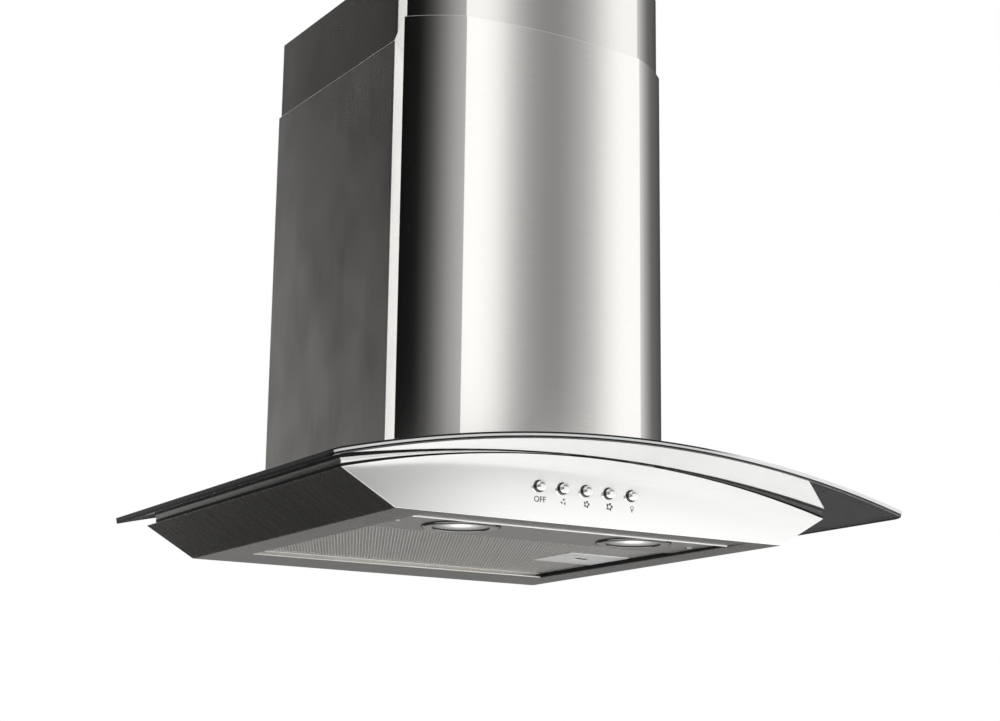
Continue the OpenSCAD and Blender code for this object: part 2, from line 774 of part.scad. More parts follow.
// Front and sides of the box round the blower. They stand on the deck, open to the canopy below.
module motor_box() {
    color("lightgray") from_rim() difference() {
        block([-box_x, -box_d, side_h], [box_x, -hanger_t, box_z - box_t]);
        block([-box_x + box_t, -box_d + box_t, 0], [box_x - box_t, 0, box_z]);
        translate([0, 1, 0]) to_room(canopy_d) canopy_outline(0);
    }
}

module motor_box_back() {
    color("lightgray") from_rim() difference() {
        block([-box_x + box_t, -hanger_t - box_t, side_h], [box_x - box_t, -hanger_t, box_z - box_t]);
        translate([0, 1, 0]) to_room(canopy_d) canopy_outline(0);
    }
}

// Top of the box, with the blower's outlet and the hole for the gland.
module motor_box_top() {
    color("lightgray") from_rim() difference() {
        block([-box_x, -box_d, box_z - box_t], [box_x, -hanger_t, box_z]);
        block([-scroll_plate_x, outlet_y0, box_z - 5], [scroll_plate_x, outlet_y1, box_z + 5]);
        rod_z([gland_x, gland_y, box_z - 5], gland_thread_r + 0.1, 10);
    }
}

// Spiral from the tongue round to the outlet, then straight up to the box's top.
function scroll_path() = concat(
    [[outlet_y0, scroll_top]],
    [
        for (i = [0 : 36])
            let (
                a = tongue_angle + (360 - tongue_angle) * i / 36,
                r = scroll_r0 + (scroll_r1 - scroll_r0) * i / 36
            )
            [-fan_d + r * cos(a), fan_z + r * sin(a)]
    ],
    [[outlet_y1, scroll_top]]
);

// Spiral wall of the scroll housing.
module scroll_wall() {
    color("darkgray") from_rim() across(scroll_w) bent_sheet(scroll_path(), scroll_t);
}

// Side plates of the scroll housing, inside the wall, with the holes for the inlets.
module scroll_sides() {
    color("darkgray") from_rim() difference() {
        for (s = [-1, 1]) translate([s * (scroll_w - scroll_t) / 2, 0, 0])
            across(scroll_t) polygon(scroll_path());
        rod_x([-scroll_w, -fan_d, fan_z], inlet_r + bell_r, 2 * scroll_w);
    }
}

// Bell-mouthed inlets on both side plates: a flat flange that curls in towards the impeller.
module inlet_rings() {
    path = concat(
        [
            for (a = [90 : -15 : 0])
                [inlet_r + bell_r * (1 - sin(a)), inlet_t + bell_r * (cos(a) - 1)]
        ],
        [[inlet_r + bell_r + 5, inlet_t]]
    );
    color("lightgray") from_rim() for (s = [-1, 1])
        translate([s * scroll_w / 2, -fan_d, fan_z]) rotate([0, s * 90, 0])
            rotate_extrude($fn = round_fn) bent_sheet(path, inlet_t);
}

// Drum impeller: forward-curved blades between two hoops, on a middle disc with a hub.
module impeller() {
    inner_r = fan_r - blade_depth;
    blade = bowed([inner_r, 0], [fan_r - 1, 5], 2.2, 5);
    color("gray") from_rim() translate([0, -fan_d, fan_z]) difference() {
        union() {
            for (i = [0 : blade_count - 1]) rotate([i * 360 / blade_count, 0, 0])
                across(fan_w - 2) bent_sheet(blade, blade_t);
            for (s = [-1, 1]) translate([s * (fan_w - hoop_w) / 2, 0, 0]) across(hoop_w) difference() {
                circle(r = fan_r, $fn = round_fn);
                circle(r = fan_r - 4, $fn = round_fn);
            }
            across(2) circle(r = fan_r - 2, $fn = round_fn);
            across(hub_l) circle(r = hub_r, $fn = round_fn);
        }
        rod_x([-hub_l, 0, 0], shaft_r, 2 * hub_l);
    }
}

module motor_shaft() {
    color("silver") from_rim()
        rod_x([-hub_l / 2 - 3, -fan_d, fan_z], shaft_r, hub_l / 2 + 3 + motor_x0 + shaft_in);
}

// Motor with rounded end bells and a bearing boss; its bore takes the shaft.
module motor() {
    body_l = motor_x1 - motor_x0;
    color("dimgray") from_rim() translate([motor_x0, -fan_d, fan_z]) rotate([0, 90, 0])
        rotate_extrude($fn = round_fn) polygon([
            [shaft_r + run_gap, 0], [shaft_r + 5, 0], [shaft_r + 5, 4], [motor_r - 6, 4],
            [motor_r, 10], [motor_r, body_l - 6], [motor_r - 6, body_l], [0, body_l],
            [0, shaft_in + 2], [shaft_r + run_gap, shaft_in + 2]
        ]);
}

// Clamp ring round the motor with three arms that stand on the scroll's side plate.
module motor_bracket() {
    color("lightgray") from_rim() translate([0, -fan_d, fan_z]) {
        translate([arm_x + strap_t / 2, 0, 0]) across(strap_t) difference() {
            union() {
                circle(r = motor_r + strap_t, $fn = round_fn);
                for (i = [0 : 2]) rotate(i * 120 + 90) translate([motor_r + 1, -arm_w / 2])
                    square([arm_r - motor_r - 1, arm_w]);
            }
            circle(r = motor_r, $fn = round_fn);
        }
        for (i = [0 : 2]) rotate([i * 120 + 90, 0, 0])
            block([scroll_w / 2, arm_r - arm_t, -arm_w / 2], [arm_x + strap_t, arm_r, arm_w / 2]);
    }
}

// Capacitor clipped to the box's left wall, with its clip's foot below it.
module motor_capacitor() {
    r = 14;
    length = 50;
    wall_x = -box_x + box_t;
    y = -box_d + 20;
    z = box_z - 60;
    color("whitesmoke") from_rim() {
        rod_y([wall_x + r, y, z], r, length);
        block([wall_x, y + 20, z - r - 3], [wall_x + r, y + 30, z]);
    }
}

// Gland for the mains lead, through the top of the motor box.
module cable_gland() {
    color([0.1, 0.1, 0.1]) from_rim() translate([gland_x, gland_y, box_z]) difference() {
        union() {
            cylinder(r = 10, h = 5, $fn = 6);
            translate([0, 0, 5]) cylinder(r = 8, h = 9, $fn = small_fn);
            translate([0, 0, -7]) cylinder(r = gland_thread_r, h = 7, $fn = small_fn);
            translate([0, 0, -box_t - 4]) cylinder(r = 9, h = 4, $fn = 6);
        }
        translate([0, 0, -10]) cylinder(r = gland_bore_r, h = 30, $fn = small_fn);
    }
}

// Square flange that carries the collar on the box's top.
module collar_flange() {
    color("lightgray") from_rim() translate([0, -collar_d, box_z])
        linear_extrude(collar_t) difference() {
            translate([-collar_flange, -collar_flange]) square(2 * collar_flange);
            circle(r = collar_in, $fn = round_fn);
        }
}

// Tube that the duct is pushed over.
module duct_collar() {
    color("lightgray") from_rim() translate([0, -collar_d, box_z]) difference() {
        translate([0, 0, collar_t]) linear_extrude(collar_h - collar_t) difference() {
            circle(r = collar_r, $fn = round_fn);
            circle(r = collar_in, $fn = round_fn);
        }
        rod_x([-collar_r - 2, 0, damper_z], rod_r, 2 * collar_r + 4);
    }
}

// Ring inside the collar that the flaps close on.
module damper_seat() {
    color("gray") from_rim() translate([0, -collar_d, box_z]) difference() {
        translate([0, 0, seat_top - 2]) rotate_extrude($fn = round_fn)
            translate([collar_in - seat_step, 0]) square([seat_step - run_gap, 2]);
        rod_x([-collar_r, 0, damper_z], rod_r + run_gap, 2 * collar_r);
    }
}

module collar_screws() {
    at = collar_flange - 7;
    color("silver") from_rim() for (x = [-at, at], y = [-at, at])
        translate([x, -collar_d + y, box_z + collar_t]) cylinder(r1 = 3.4, r2 = 2.4, h = 2, $fn = small_fn);
}

module damper_rod() {
    color("gray") from_rim()
        rod_x([-collar_in - 0.6, -collar_d, rod_z], rod_r, 2 * collar_in + 1.2);
}

// Half-round flap with two knuckles on the rod; the two flaps' knuckles alternate.
module damper_flap(s) {
    color("silver") from_rim() translate([0, -collar_d, rod_z]) difference() {
        union() {
            translate([0, 0, -flap_t / 2]) linear_extrude(flap_t) intersection() {
                circle(r = flap_r, $fn = round_fn);
                translate([-flap_r, s > 0 ? flap_edge : -flap_r]) square([2 * flap_r, flap_r - flap_edge]);
            }
            for (x = [-1.5, 0.5]) translate([(x + (s > 0 ? 0 : 1)) * knuckle_step - knuckle_l / 2, 0, 0]) {
                rod_x([0, 0, 0], knuckle_r, knuckle_l);
                block([0, s > 0 ? 0 : -flap_edge - 1, -flap_t / 2],
                      [knuckle_l, s > 0 ? flap_edge + 1 : 0, flap_t / 2]);
            }
        }
        rod_x([-collar_r, 0, 0], rod_r + run_gap, 2 * collar_r);
    }
}
module damper_flap_front() damper_flap(-1);
module damper_flap_rear() damper_flap(1);

// Right-hand and left-hand side panels of one chimney section.
module side_panels(inset) {
    for (s = [0, 1]) mirror([s, 0, 0]) bent_sheet(side_path(inset), sheet_t);
}

// Folded front cover of one chimney section.
module front_cover(inset) bent_sheet(cover_path(inset), sheet_t);

module lower_chimney_sides() {
    color("silver") from_rim() intersection() {
        linear_extrude(seam_z) side_panels(0);
        above_glass();
    }
}

module lower_chimney_front() {
    color("silver") from_rim() intersection() {
        linear_extrude(seam_z) front_cover(0);
        above_glass();
    }
}

// Angles between the motor box and the lower side panels, just above the glass.
module chimney_feet() {
    color("gray") from_rim() intersection() {
        above_glass();
        for (s = [0, 1]) mirror([s, 0, 0]) union() {
            block([box_x, foot_y - foot_w / 2, 0],
                  [chimney_x - sheet_t, foot_y + foot_w / 2, glass_top - 4]);
            block([chimney_x - sheet_t - foot_t, foot_y - foot_w / 2, 0],
                  [chimney_x - sheet_t, foot_y + foot_w / 2, glass_top + 10]);
        }
    }
}

module upper_chimney_sides() {
    color("silver") from_rim() translate([0, 0, upper_z])
        linear_extrude(upper_l) side_panels(section_inset);
}

module upper_chimney_front() {
    color("silver") from_rim() translate([0, 0, upper_z])
        linear_extrude(upper_l) front_cover(section_inset);
}

// U-shaped wall bracket inside the top of the upper section.
module upper_bracket() {
    half = chimney_x - section_inset - sheet_t - lap_gap;
    color("gray") from_rim() difference() {
        translate([0, 0, bracket_z]) linear_extrude(bracket_h)
            bent_sheet([[-half, -bracket_arm], [-half, 0], [half, 0], [half, -bracket_arm]], bracket_t);
        for (s = [-1, 1])
            rod_y([s * bracket_pitch / 2, -2 * bracket_t, bracket_z + bracket_h / 2],
                  bracket_hole_r, 4 * bracket_t);
    }
}

canopy_shell();
front_fascia();
glass_canopy();
glass_seat();
glass_clamps();
lamp_plate();
lamp_plate_screws();
lamp_ring_left();
lamp_ring_right();
lamp_lens_left();
lamp_lens_right();
lamp_cup_left();
lamp_cup_right();
lamp_bulb_left();
lamp_bulb_right();
filter_frame();
filter_mesh();
filter_core();
filter_handle();
filter_pins();
filter_latch();
button_off();
button_low();
button_mid();
button_high();
button_light();
button_rings();
switch_block();
control_box();
hanger_plate();
motor_box();
motor_box_back();
motor_box_top();
scroll_wall();
scroll_sides();
inlet_rings();
impeller();
motor_shaft();
motor();
motor_bracket();
motor_capacitor();
cable_gland();
collar_flange();
duct_collar();
collar_screws();
damper_seat();
damper_rod();
damper_flap_front();
damper_flap_rear();
lower_chimney_sides();
lower_chimney_front();
chimney_feet();
upper_chimney_sides();
upper_chimney_front();
upper_bracket();
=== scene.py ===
# %% [markdown]
# This file gives a wall mount range hood its looks: an arched glass canopy, a shallow steel
# body with lamps, a grease filter and push buttons, and a chimney with a bowed front.
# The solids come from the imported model, in metres. X runs across the hood, Y goes into the
# wall and Z is up. Every new piece is made where its solid stands, so nothing is fitted later.

# %% Load the solids
import math

import bmesh
import bpy
from mathutils import Matrix, Vector


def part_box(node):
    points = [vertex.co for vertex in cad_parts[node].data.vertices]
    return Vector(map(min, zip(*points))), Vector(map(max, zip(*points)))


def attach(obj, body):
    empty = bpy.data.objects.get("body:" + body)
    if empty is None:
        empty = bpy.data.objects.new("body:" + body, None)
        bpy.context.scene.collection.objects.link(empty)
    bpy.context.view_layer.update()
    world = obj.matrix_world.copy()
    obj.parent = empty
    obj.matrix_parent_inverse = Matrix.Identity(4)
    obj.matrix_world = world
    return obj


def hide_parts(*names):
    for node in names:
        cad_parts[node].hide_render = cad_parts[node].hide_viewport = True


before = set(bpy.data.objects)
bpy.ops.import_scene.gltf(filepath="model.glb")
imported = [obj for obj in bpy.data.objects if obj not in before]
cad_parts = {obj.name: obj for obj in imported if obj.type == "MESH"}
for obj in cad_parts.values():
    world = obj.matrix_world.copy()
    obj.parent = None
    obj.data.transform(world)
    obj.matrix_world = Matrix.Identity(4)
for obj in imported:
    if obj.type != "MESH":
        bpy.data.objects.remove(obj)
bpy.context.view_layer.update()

# %% [markdown]
# The frame gives the box of each solid, and nearly every size below is read from those boxes.
# A few driving sizes can't be read from a box, such as how far a sheet bows, so they are
# written here in metres, as they are on the real hood.

# %% Places and sizes
MM = 0.001
rim_low, rim_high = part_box("canopy_shell")
glass_low, glass_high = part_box("glass_canopy")
fascia_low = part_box("front_fascia")[0]
upper_low, upper_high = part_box("upper_chimney_front")

RIM_Z = rim_low.z
SHOULDER_Z = RIM_Z + 30 * MM
deck_half = rim_high.x
rim_half = 207.0 * MM
SHEET = 1.0 * MM
PLAY = 0.3 * MM
GLASS_T = 6.0 * MM
SEAT_END = 5.0 * MM
GLASS_BOW = 6.0 * MM
GLASS_CORNER = 14.0 * MM
CREASE_X = 100.5 * MM
CREASE_Y = -360.0 * MM
FLARE = Vector((130.0 * MM, -268.5 * MM, 0))
CORNER = Vector((150.0 * MM, -326.0 * MM, 0))
FRONT_BOW = 8.0 * MM
FACET_BOW = 2.4 * MM
SLIDE_INSET = 2.6 * MM
BUTTON_PITCH = 24.6 * MM
INK = 0.06 * MM
FACING_FRONT = (math.radians(90), 0, 0)


def radius_of(half, rise):
    """Radius of an arc from half of its chord and its rise."""
    return (half ** 2 + rise ** 2) / (2 * rise)


print("rim plane at", round(RIM_Z, 4), "glass from", round(glass_low.z, 4),
      "to", round(glass_high.z, 4))

# %% [markdown]
# Operators act on whatever is selected, so each step starts by selecting one object. Faces and
# edges are then picked in code, by where they lie or which way they face, which takes the place
# of clicking on them.

# %% Helpers for modelling
def pick(obj=None):
    """Deselects everything, then selects one object and makes it the active one."""
    bpy.ops.object.select_all(action="DESELECT")
    if obj:
        obj.select_set(True)
        bpy.context.view_layer.objects.active = obj


def take_all():
    bpy.ops.mesh.select_all(action="SELECT")


def added(name):
    """Names the object that the last operator added."""
    obj = bpy.context.active_object
    obj.name = name
    obj.data.name = name
    return obj


def settle(obj):
    """Puts an object's place, turn and size into its mesh."""
    pick(obj)
    bpy.ops.object.transform_apply(location=True, rotation=True, scale=True)
    return obj


def edit(obj):
    pick(obj)
    bpy.ops.object.mode_set(mode="EDIT")
    bpy.ops.mesh.select_mode(type="VERT")
    bpy.ops.mesh.select_all(action="DESELECT")


def leave():
    bpy.ops.object.mode_set(mode="OBJECT")


def choose(obj, verts=None, edges=None, faces=None):
    """Selects the parts of the mesh in edit mode for which the test is true."""
    mode = "VERT" if verts else "EDGE" if edges else "FACE"
    bpy.ops.mesh.select_mode(type=mode)
    mesh = bmesh.from_edit_mesh(obj.data)
    for part, test in ((mesh.verts, verts), (mesh.edges, edges), (mesh.faces, faces)):
        if test:
            for p in part:
                p.select_set(bool(test(p)))
    mesh.select_flush_mode()
    bmesh.update_edit_mesh(obj.data)

# %% Helpers for modifiers and shading
def use(obj, kind, **values):
    """Adds one modifier, sets it and applies it."""
    pick(obj)
    step = obj.modifiers.new("step", kind)
    for key, value in values.items():
        setattr(step, key, value)
    bpy.ops.object.modifier_apply(modifier=step.name)


def smooth(obj, angle=40.0):
    """Smooth shading in which the large faces stay flat and the small bevels do the turning."""
    pick(obj)
    bpy.ops.object.shade_smooth_by_angle(angle=math.radians(angle))
    use(obj, "WEIGHTED_NORMAL", mode="FACE_AREA", weight=50, keep_sharp=True)

# %% Helper for finished pieces
def hand_over(obj, body, slot, *nodes):
    """Says which body a piece moves with and which solids it stands for; its slot argument is not
    used.
    """
    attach(obj, body)
    if nodes:
        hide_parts(*nodes)
    print(obj.name, len(obj.data.polygons), "faces")
    return obj

# %% [markdown]
# A material is a small graph. Each one here starts with a Principled shader and adds only what
# the real finish shows: the grain that a belt leaves on steel, the flakes of zinc, the dimples
# of cast plastic. Patterns read Object coordinates, so they stay on the piece as it moves.

# %% Helpers for materials
class Finish:
    """A material with a Principled shader, and short ways to add nodes to it."""

    def __init__(self, name, colour, metallic=0.0, roughness=0.5, **sockets):
        self.material = bpy.data.materials.new(name)
        self.material.use_nodes = True
        self.nodes = self.material.node_tree.nodes
        self.links = self.material.node_tree.links
        self.shader = self.nodes["Principled BSDF"]
        self.set(**{"Base Color": (*colour, 1.0), "Metallic": metallic, "Roughness": roughness})
        self.set(**sockets)
        self.material.diffuse_color = (*colour, 1.0)
        self.colour = colour

    def set(self, **sockets):
        for key, value in sockets.items():
            self.shader.inputs[key.replace("_", " ")].default_value = value

    def node(self, kind, **inputs):
        made = self.nodes.new(kind)
        for key, value in inputs.items():
            made.inputs[key.replace("_", " ")].default_value = value
        return made

    def link(self, source, target):
        self.links.new(source, target)

    def place(self, scale=(1, 1, 1), turn=(0, 0, 0), move=(0, 0, 0)):
        """Object coordinates, scaled and turned. Small factors stretch a pattern."""
        where = self.node("ShaderNodeTexCoord")
        mapping = self.node("ShaderNodeMapping", Scale=scale, Rotation=turn, Location=move)
        self.link(where.outputs["Object"], mapping.inputs["Vector"])
        return mapping.outputs["Vector"]

    def noise(self, vector, scale, detail=2.0, roughness=0.5):
        made = self.node("ShaderNodeTexNoise", Scale=scale, Detail=detail, Roughness=roughness)
        self.link(vector, made.inputs["Vector"])
        return made.outputs["Fac"]

    def remap(self, value, low, high, start=0.0, end=1.0):
        made = self.node("ShaderNodeMapRange", From_Min=start, From_Max=end,
                         To_Min=low, To_Max=high)
        self.link(value, made.inputs["Value"])
        return made.outputs["Result"]

    def tint(self, value, dark, light):
        """Colour between dark and light shares of the base colour, by value."""
        ramp = self.node("ShaderNodeValToRGB")
        for stop, share in zip(ramp.color_ramp.elements, (dark, light)):
            stop.color = (*[min(1.0, c * share) for c in self.colour], 1.0)
        self.link(value, ramp.inputs["Fac"])
        self.link(ramp.outputs["Color"], self.shader.inputs["Base Color"])

    def rough(self, value, low, high):
        self.link(self.remap(value, low, high), self.shader.inputs["Roughness"])

    def bump(self, height, distance, strength=1.0):
        made = self.node("ShaderNodeBump", Strength=strength, Distance=distance)
        self.link(height, made.inputs["Height"])
        self.link(made.outputs["Normal"], self.shader.inputs["Normal"])

# %% Helpers that put a finish on a piece
def wear(obj, finish):
    """Gives an object one finish."""
    obj.data.materials.clear()
    obj.data.materials.append(finish.material)


def paint(obj, finish, faces):
    """Gives one more finish to the faces for which the test is true."""
    obj.data.materials.append(finish.material)
    edit(obj)
    choose(obj, faces=faces)
    obj.active_material_index = len(obj.data.materials) - 1
    bpy.ops.object.material_slot_assign()
    leave()

# %% Brushed steel
def brushed(name, colour, roughness, along, blotch=0.08, grain=0.12, cloud=9.0, relief=0.35):
    """Belt-brushed steel: long fine scratches along the named axes and a faint uneven sheen."""
    finish = Finish(name, colour, metallic=1.0, roughness=roughness)
    fine = tuple(6.0 if axis in along else 900.0 for axis in "XYZ")
    scratches = finish.noise(finish.place(scale=fine), 1.0, detail=3.0, roughness=0.65)
    patches = finish.noise(finish.place(scale=(1, 1, 0.6)), cloud, detail=5.0, roughness=0.6)
    both = finish.node("ShaderNodeMath")
    both.operation = "MULTIPLY_ADD"
    spread = grain / blotch
    both.inputs[1].default_value = spread
    finish.link(scratches, both.inputs[0])
    finish.link(patches, both.inputs[2])
    even = finish.remap(both.outputs[0], 0.0, 1.0, start=0.25 * (1 + spread),
                        end=0.75 * (1 + spread))
    finish.tint(even, 1.0 - blotch - grain, 1.0 + blotch + grain)
    finish.rough(scratches, roughness * 0.82, roughness * 1.22)
    finish.bump(scratches, 0.00002, relief)
    return finish

# %% [markdown]
# The sheets of steel differ in finish. The chimney's front is polished smooth enough to show soft
# reflections, its sides are duller and painted darker as shade, and the canopy is brushed across
# its length. The upper section's sheets are painted darker than the lower ones, as shade, and the
# canopy's slanting sides are a darker copy of its steel, which is painted shade too. The front
# panel and the handle are painted palest, as a painted sheen, and the lip's finish is a painted
# highlight.
# The direction of the grain tells one sheet from the next. Panel, lip and handle aren't all metal
# in the shader, so that they also catch light from the side.

# %% Steel finishes
polished = {"along": "X", "grain": 0.02, "relief": 0.06}
clouded = {"along": "Z", "grain": 0.05, "cloud": 16.0}
crosswise = {"along": "XZ", "grain": 0.02, "blotch": 0.12}
front_steel = brushed("chimney_front_steel", (0.75, 0.74, 0.725), 0.11, blotch=0.012, **polished)
# The upper front is a darker copy of the front steel: painted shade.
upper_front_steel = brushed("upper_front_steel", (0.70, 0.69, 0.675), 0.12, blotch=0.012,
                            **polished)
# The chimney's side steels are painted darker than the front as shade, and the upper one darker
# still.
shaded_side_steel = brushed("chimney_side_steel", (0.275, 0.264, 0.252), 0.22, blotch=0.30, **clouded)
upper_side_steel = brushed("upper_side_steel", (0.155, 0.149, 0.142), 0.22, blotch=0.26, **clouded)
body_steel = brushed("canopy_steel", (0.50, 0.485, 0.465), 0.27, **crosswise)
# The canopy's slanting sides get a darker copy of the canopy steel: painted shade.
canopy_side_shaded_steel = brushed("canopy_side_shaded_steel", (0.33, 0.313, 0.297), 0.27, **crosswise)
# The front panel's near white steel is a painted sheen.
panel_steel = brushed("panel_steel", (0.95, 0.95, 0.945), 0.12, blotch=0.008, **polished)
plate_steel = brushed("plate_steel", (0.84, 0.82, 0.79), 0.34, "X", blotch=0.05, grain=0.10)
# The handle's near white steel is a painted sheen too.
handle_steel = brushed("handle_steel", (0.95, 0.94, 0.92), 0.28, "X", blotch=0.03, grain=0.07)
# The lip steel is a painted highlight, put on every face that has to show a bright line.
painted_highlight_steel = brushed("painted_highlight_steel", (0.94, 0.93, 0.91), 0.30, "X", blotch=0.03, grain=0.05)
rail_steel = brushed("rail_steel", (0.24, 0.232, 0.222), 0.30, "Y", blotch=0.06, grain=0.10)
panel_steel.set(Metallic=0.65)
painted_highlight_steel.set(Metallic=0.4)
handle_steel.set(Metallic=0.25)
print("materials so far:", len(bpy.data.materials))

# %% [markdown]
# The hidden sheet metal is galvanised, so it has flat flakes of zinc that each catch the light a
# little differently. Voronoi cells give each flake one random value. Screws, the shaft and the
# rod are plain bright metal with a fine turned grain.

# %% Zinc, bright metal and aluminium
def galvanised(name, colour):
    finish = Finish(name, colour, metallic=0.85, roughness=0.42)
    flakes = finish.node("ShaderNodeTexVoronoi", Scale=70.0)
    finish.link(finish.place(), flakes.inputs["Vector"])
    grey = finish.node("ShaderNodeSeparateColor")
    finish.link(flakes.outputs["Color"], grey.inputs["Color"])
    finish.tint(grey.outputs["Red"], 0.82, 1.12)
    finish.rough(grey.outputs["Green"], 0.34, 0.50)
    return finish


def turned(name, colour, roughness=0.18):
    finish = Finish(name, colour, metallic=1.0, roughness=roughness)
    rings = finish.noise(finish.place(), 900.0, detail=2.0)
    finish.tint(rings, 0.93, 1.05)
    finish.rough(rings, roughness * 0.8, roughness * 1.3)
    return finish


zinc = galvanised("zinc_sheet", (0.60, 0.61, 0.62))
screw_metal = turned("screw_metal", (0.66, 0.65, 0.63), 0.22)
plate_screw = turned("plate_screw", (0.40, 0.39, 0.375), 0.4)
chrome = turned("button_chrome", (0.86, 0.86, 0.86), 0.06)
ring_chrome = turned("ring_chrome", (0.10, 0.10, 0.10), 0.16)
lamp_chrome = turned("lamp_chrome", (0.62, 0.61, 0.59), 0.14)
cup_aluminium = turned("cup_aluminium", (0.80, 0.80, 0.80), 0.2)
impeller_metal = galvanised("impeller_metal", (0.50, 0.50, 0.50))
flap_metal = brushed("flap_metal", (0.66, 0.66, 0.66), 0.32, "X")
filter_aluminium = brushed("filter_aluminium", (0.66, 0.65, 0.63), 0.34, "X")
mesh_metal = brushed("filter_mesh_metal", (0.86, 0.84, 0.81), 0.38, "X", blotch=0.05, grain=0.05)
core_metal = brushed("filter_core_metal", (0.06, 0.058, 0.055), 0.5, "Y", blotch=0.05, grain=0.2)
mesh_metal.set(Metallic=0.6)
print("materials so far:", len(bpy.data.materials))

# %% [markdown]
# Plastic, rubber and enamel aren't metal. Their colour is in the body of the material, and the
# moulded ones have a fine grain that breaks up the highlight.

# %% Plastic, rubber and enamel
def moulded(name, colour, roughness, grain=0.00004):
    finish = Finish(name, colour, roughness=roughness)
    dimples = finish.noise(finish.place(), 1400.0, detail=2.0)
    finish.tint(dimples, 0.92, 1.06)
    finish.rough(dimples, roughness * 0.88, roughness * 1.1)
    finish.bump(dimples, grain, 0.5)
    return finish


rubber = moulded("rubber", (0.010, 0.010, 0.010), 0.6)
rubber.set(Specular_IOR_Level=0.15)
# This dark finish is painted shade on the right part of the rail's front.
painted_rail_shade = moulded("painted_rail_shade", (0.085, 0.085, 0.083), 0.5)
black_plastic = moulded("black_plastic", (0.025, 0.025, 0.026), 0.42)
latch_plastic = moulded("latch_plastic", (0.05, 0.05, 0.05), 0.38)
white_plastic = moulded("white_plastic", (0.78, 0.78, 0.75), 0.45)
motor_enamel = moulded("motor_metal", (0.09, 0.09, 0.095), 0.35)
print_ink = moulded("panel_print", (0.045, 0.045, 0.045), 0.5)
print("materials so far:", len(bpy.data.materials))

# %% [markdown]
# The canopy is one sheet of smoked glass with a thin mirror coat. Its depth of tone comes from
# the base colour, which light meets on the way in and on the way out, and about three quarters
# of it is metal, which is what a mirror coat does. The lamp glass is frosted, and it glows most in
# the middle, where the bulb is: distance from the lamp's axis, read from Object coordinates, sets
# how bright it is.

# %% Glass and lamp glass
smoked_glass = Finish("canopy_glass", (0.60, 0.605, 0.60), metallic=0.72, roughness=0.02)
smoked_glass.set(Transmission_Weight=1.0, IOR=1.52)
smears = smoked_glass.noise(smoked_glass.place(), 14.0, detail=4.0)
smoked_glass.rough(smears, 0.005, 0.04)

bulb_glass = Finish("bulb_glass", (0.95, 0.95, 0.90), roughness=0.3)
bulb_glass.set(Transmission_Weight=0.4, Emission_Color=(1.0, 0.97, 0.9, 1.0), Emission_Strength=1.5)
haze = bulb_glass.noise(bulb_glass.place(), 200.0)
bulb_glass.rough(haze, 0.2, 0.4)

GLOW_REACH = 27.0 * MM


def lit_glass(name, centre):
    """Frosted lamp glass, brightest at the lamp's axis."""
    finish = Finish(name, (0.30, 0.30, 0.29), roughness=0.2)
    where = finish.place(move=(-centre.x, -centre.y, 0))
    flat = finish.node("ShaderNodeVectorMath")
    flat.operation = "MULTIPLY"
    flat.inputs[1].default_value = (1.0, 1.0, 0.0)
    finish.link(where, flat.inputs[0])
    reach = finish.node("ShaderNodeVectorMath")
    reach.operation = "LENGTH"
    finish.link(flat.outputs["Vector"], reach.inputs[0])
    glow = finish.node("ShaderNodeValToRGB")
    glow.color_ramp.interpolation = "EASE"
    stops = glow.color_ramp.elements
    stops[0].position, stops[0].color = 0.0, (1.0, 0.99, 0.96, 1.0)
    stops[1].position, stops[1].color = 1.0, (0.06, 0.06, 0.058, 1.0)
    for at, tone in ((0.24, 0.95), (0.46, 0.42), (0.72, 0.16)):
        stop = stops.new(at)
        stop.color = (tone, tone * 0.99, tone * 0.96, 1.0)
    finish.link(finish.remap(reach.outputs["Value"], 0.0, 1.0, end=GLOW_REACH), glow.inputs["Fac"])
    finish.link(glow.outputs["Color"], finish.shader.inputs["Emission Color"])
    finish.set(Emission_Strength=1.0)
    ribs = finish.node("ShaderNodeTexWave", Scale=160.0, Distortion=0.0)
    finish.link(where, ribs.inputs["Vector"])
    finish.bump(ribs.outputs["Fac"], 0.0004, 0.6)
    return finish


print("materials so far:", len(bpy.data.materials))

# %% [markdown]
# Each solid takes the finish of the real part, which is put in its material slots. Most already
# have the right shape and stay. The others are hidden later by a finer piece.

# %% Finishes for the solids
worn_by = {
    shaded_side_steel: ["lower_chimney_sides"],
    upper_side_steel: ["upper_chimney_sides"],
    zinc: [
        "hanger_plate", "motor_box", "motor_box_back", "motor_box_top", "scroll_wall",
        "scroll_sides", "inlet_rings", "motor_bracket", "collar_flange", "duct_collar",
        "glass_clamps", "chimney_feet", "upper_bracket",
    ],
    screw_metal: ["motor_shaft", "collar_screws", "damper_rod", "filter_pins", "lamp_plate_screws"],
    rubber: ["glass_seat"],
    cup_aluminium: ["lamp_cup_left", "lamp_cup_right"],
    bulb_glass: ["lamp_bulb_left", "lamp_bulb_right"],
    core_metal: ["filter_core"],
    latch_plastic: ["filter_latch"],
    black_plastic: ["switch_block", "cable_gland"],
    white_plastic: ["control_box", "motor_capacitor"],
    motor_enamel: ["motor"],
    impeller_metal: ["impeller"],
    flap_metal: ["damper_flap_front", "damper_flap_rear", "damper_seat"],
    filter_aluminium: ["filter_frame"],
    handle_steel: ["filter_handle"],
    plate_steel: ["lamp_plate"],
    body_steel: ["canopy_shell"],
    panel_steel: ["front_fascia"],
    smoked_glass: ["glass_canopy"],
    front_steel: ["lower_chimney_front"],
    upper_front_steel: ["upper_chimney_front"],
    lamp_chrome: ["lamp_ring_left", "lamp_ring_right"],
    chrome: ["button_off", "button_low", "button_mid", "button_high", "button_light"],
    ring_chrome: ["button_rings"],
    mesh_metal: ["filter_mesh"],
}
for finish, names in worn_by.items():
    for name in names:
        wear(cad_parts[name], finish)
lamp_glass = {}
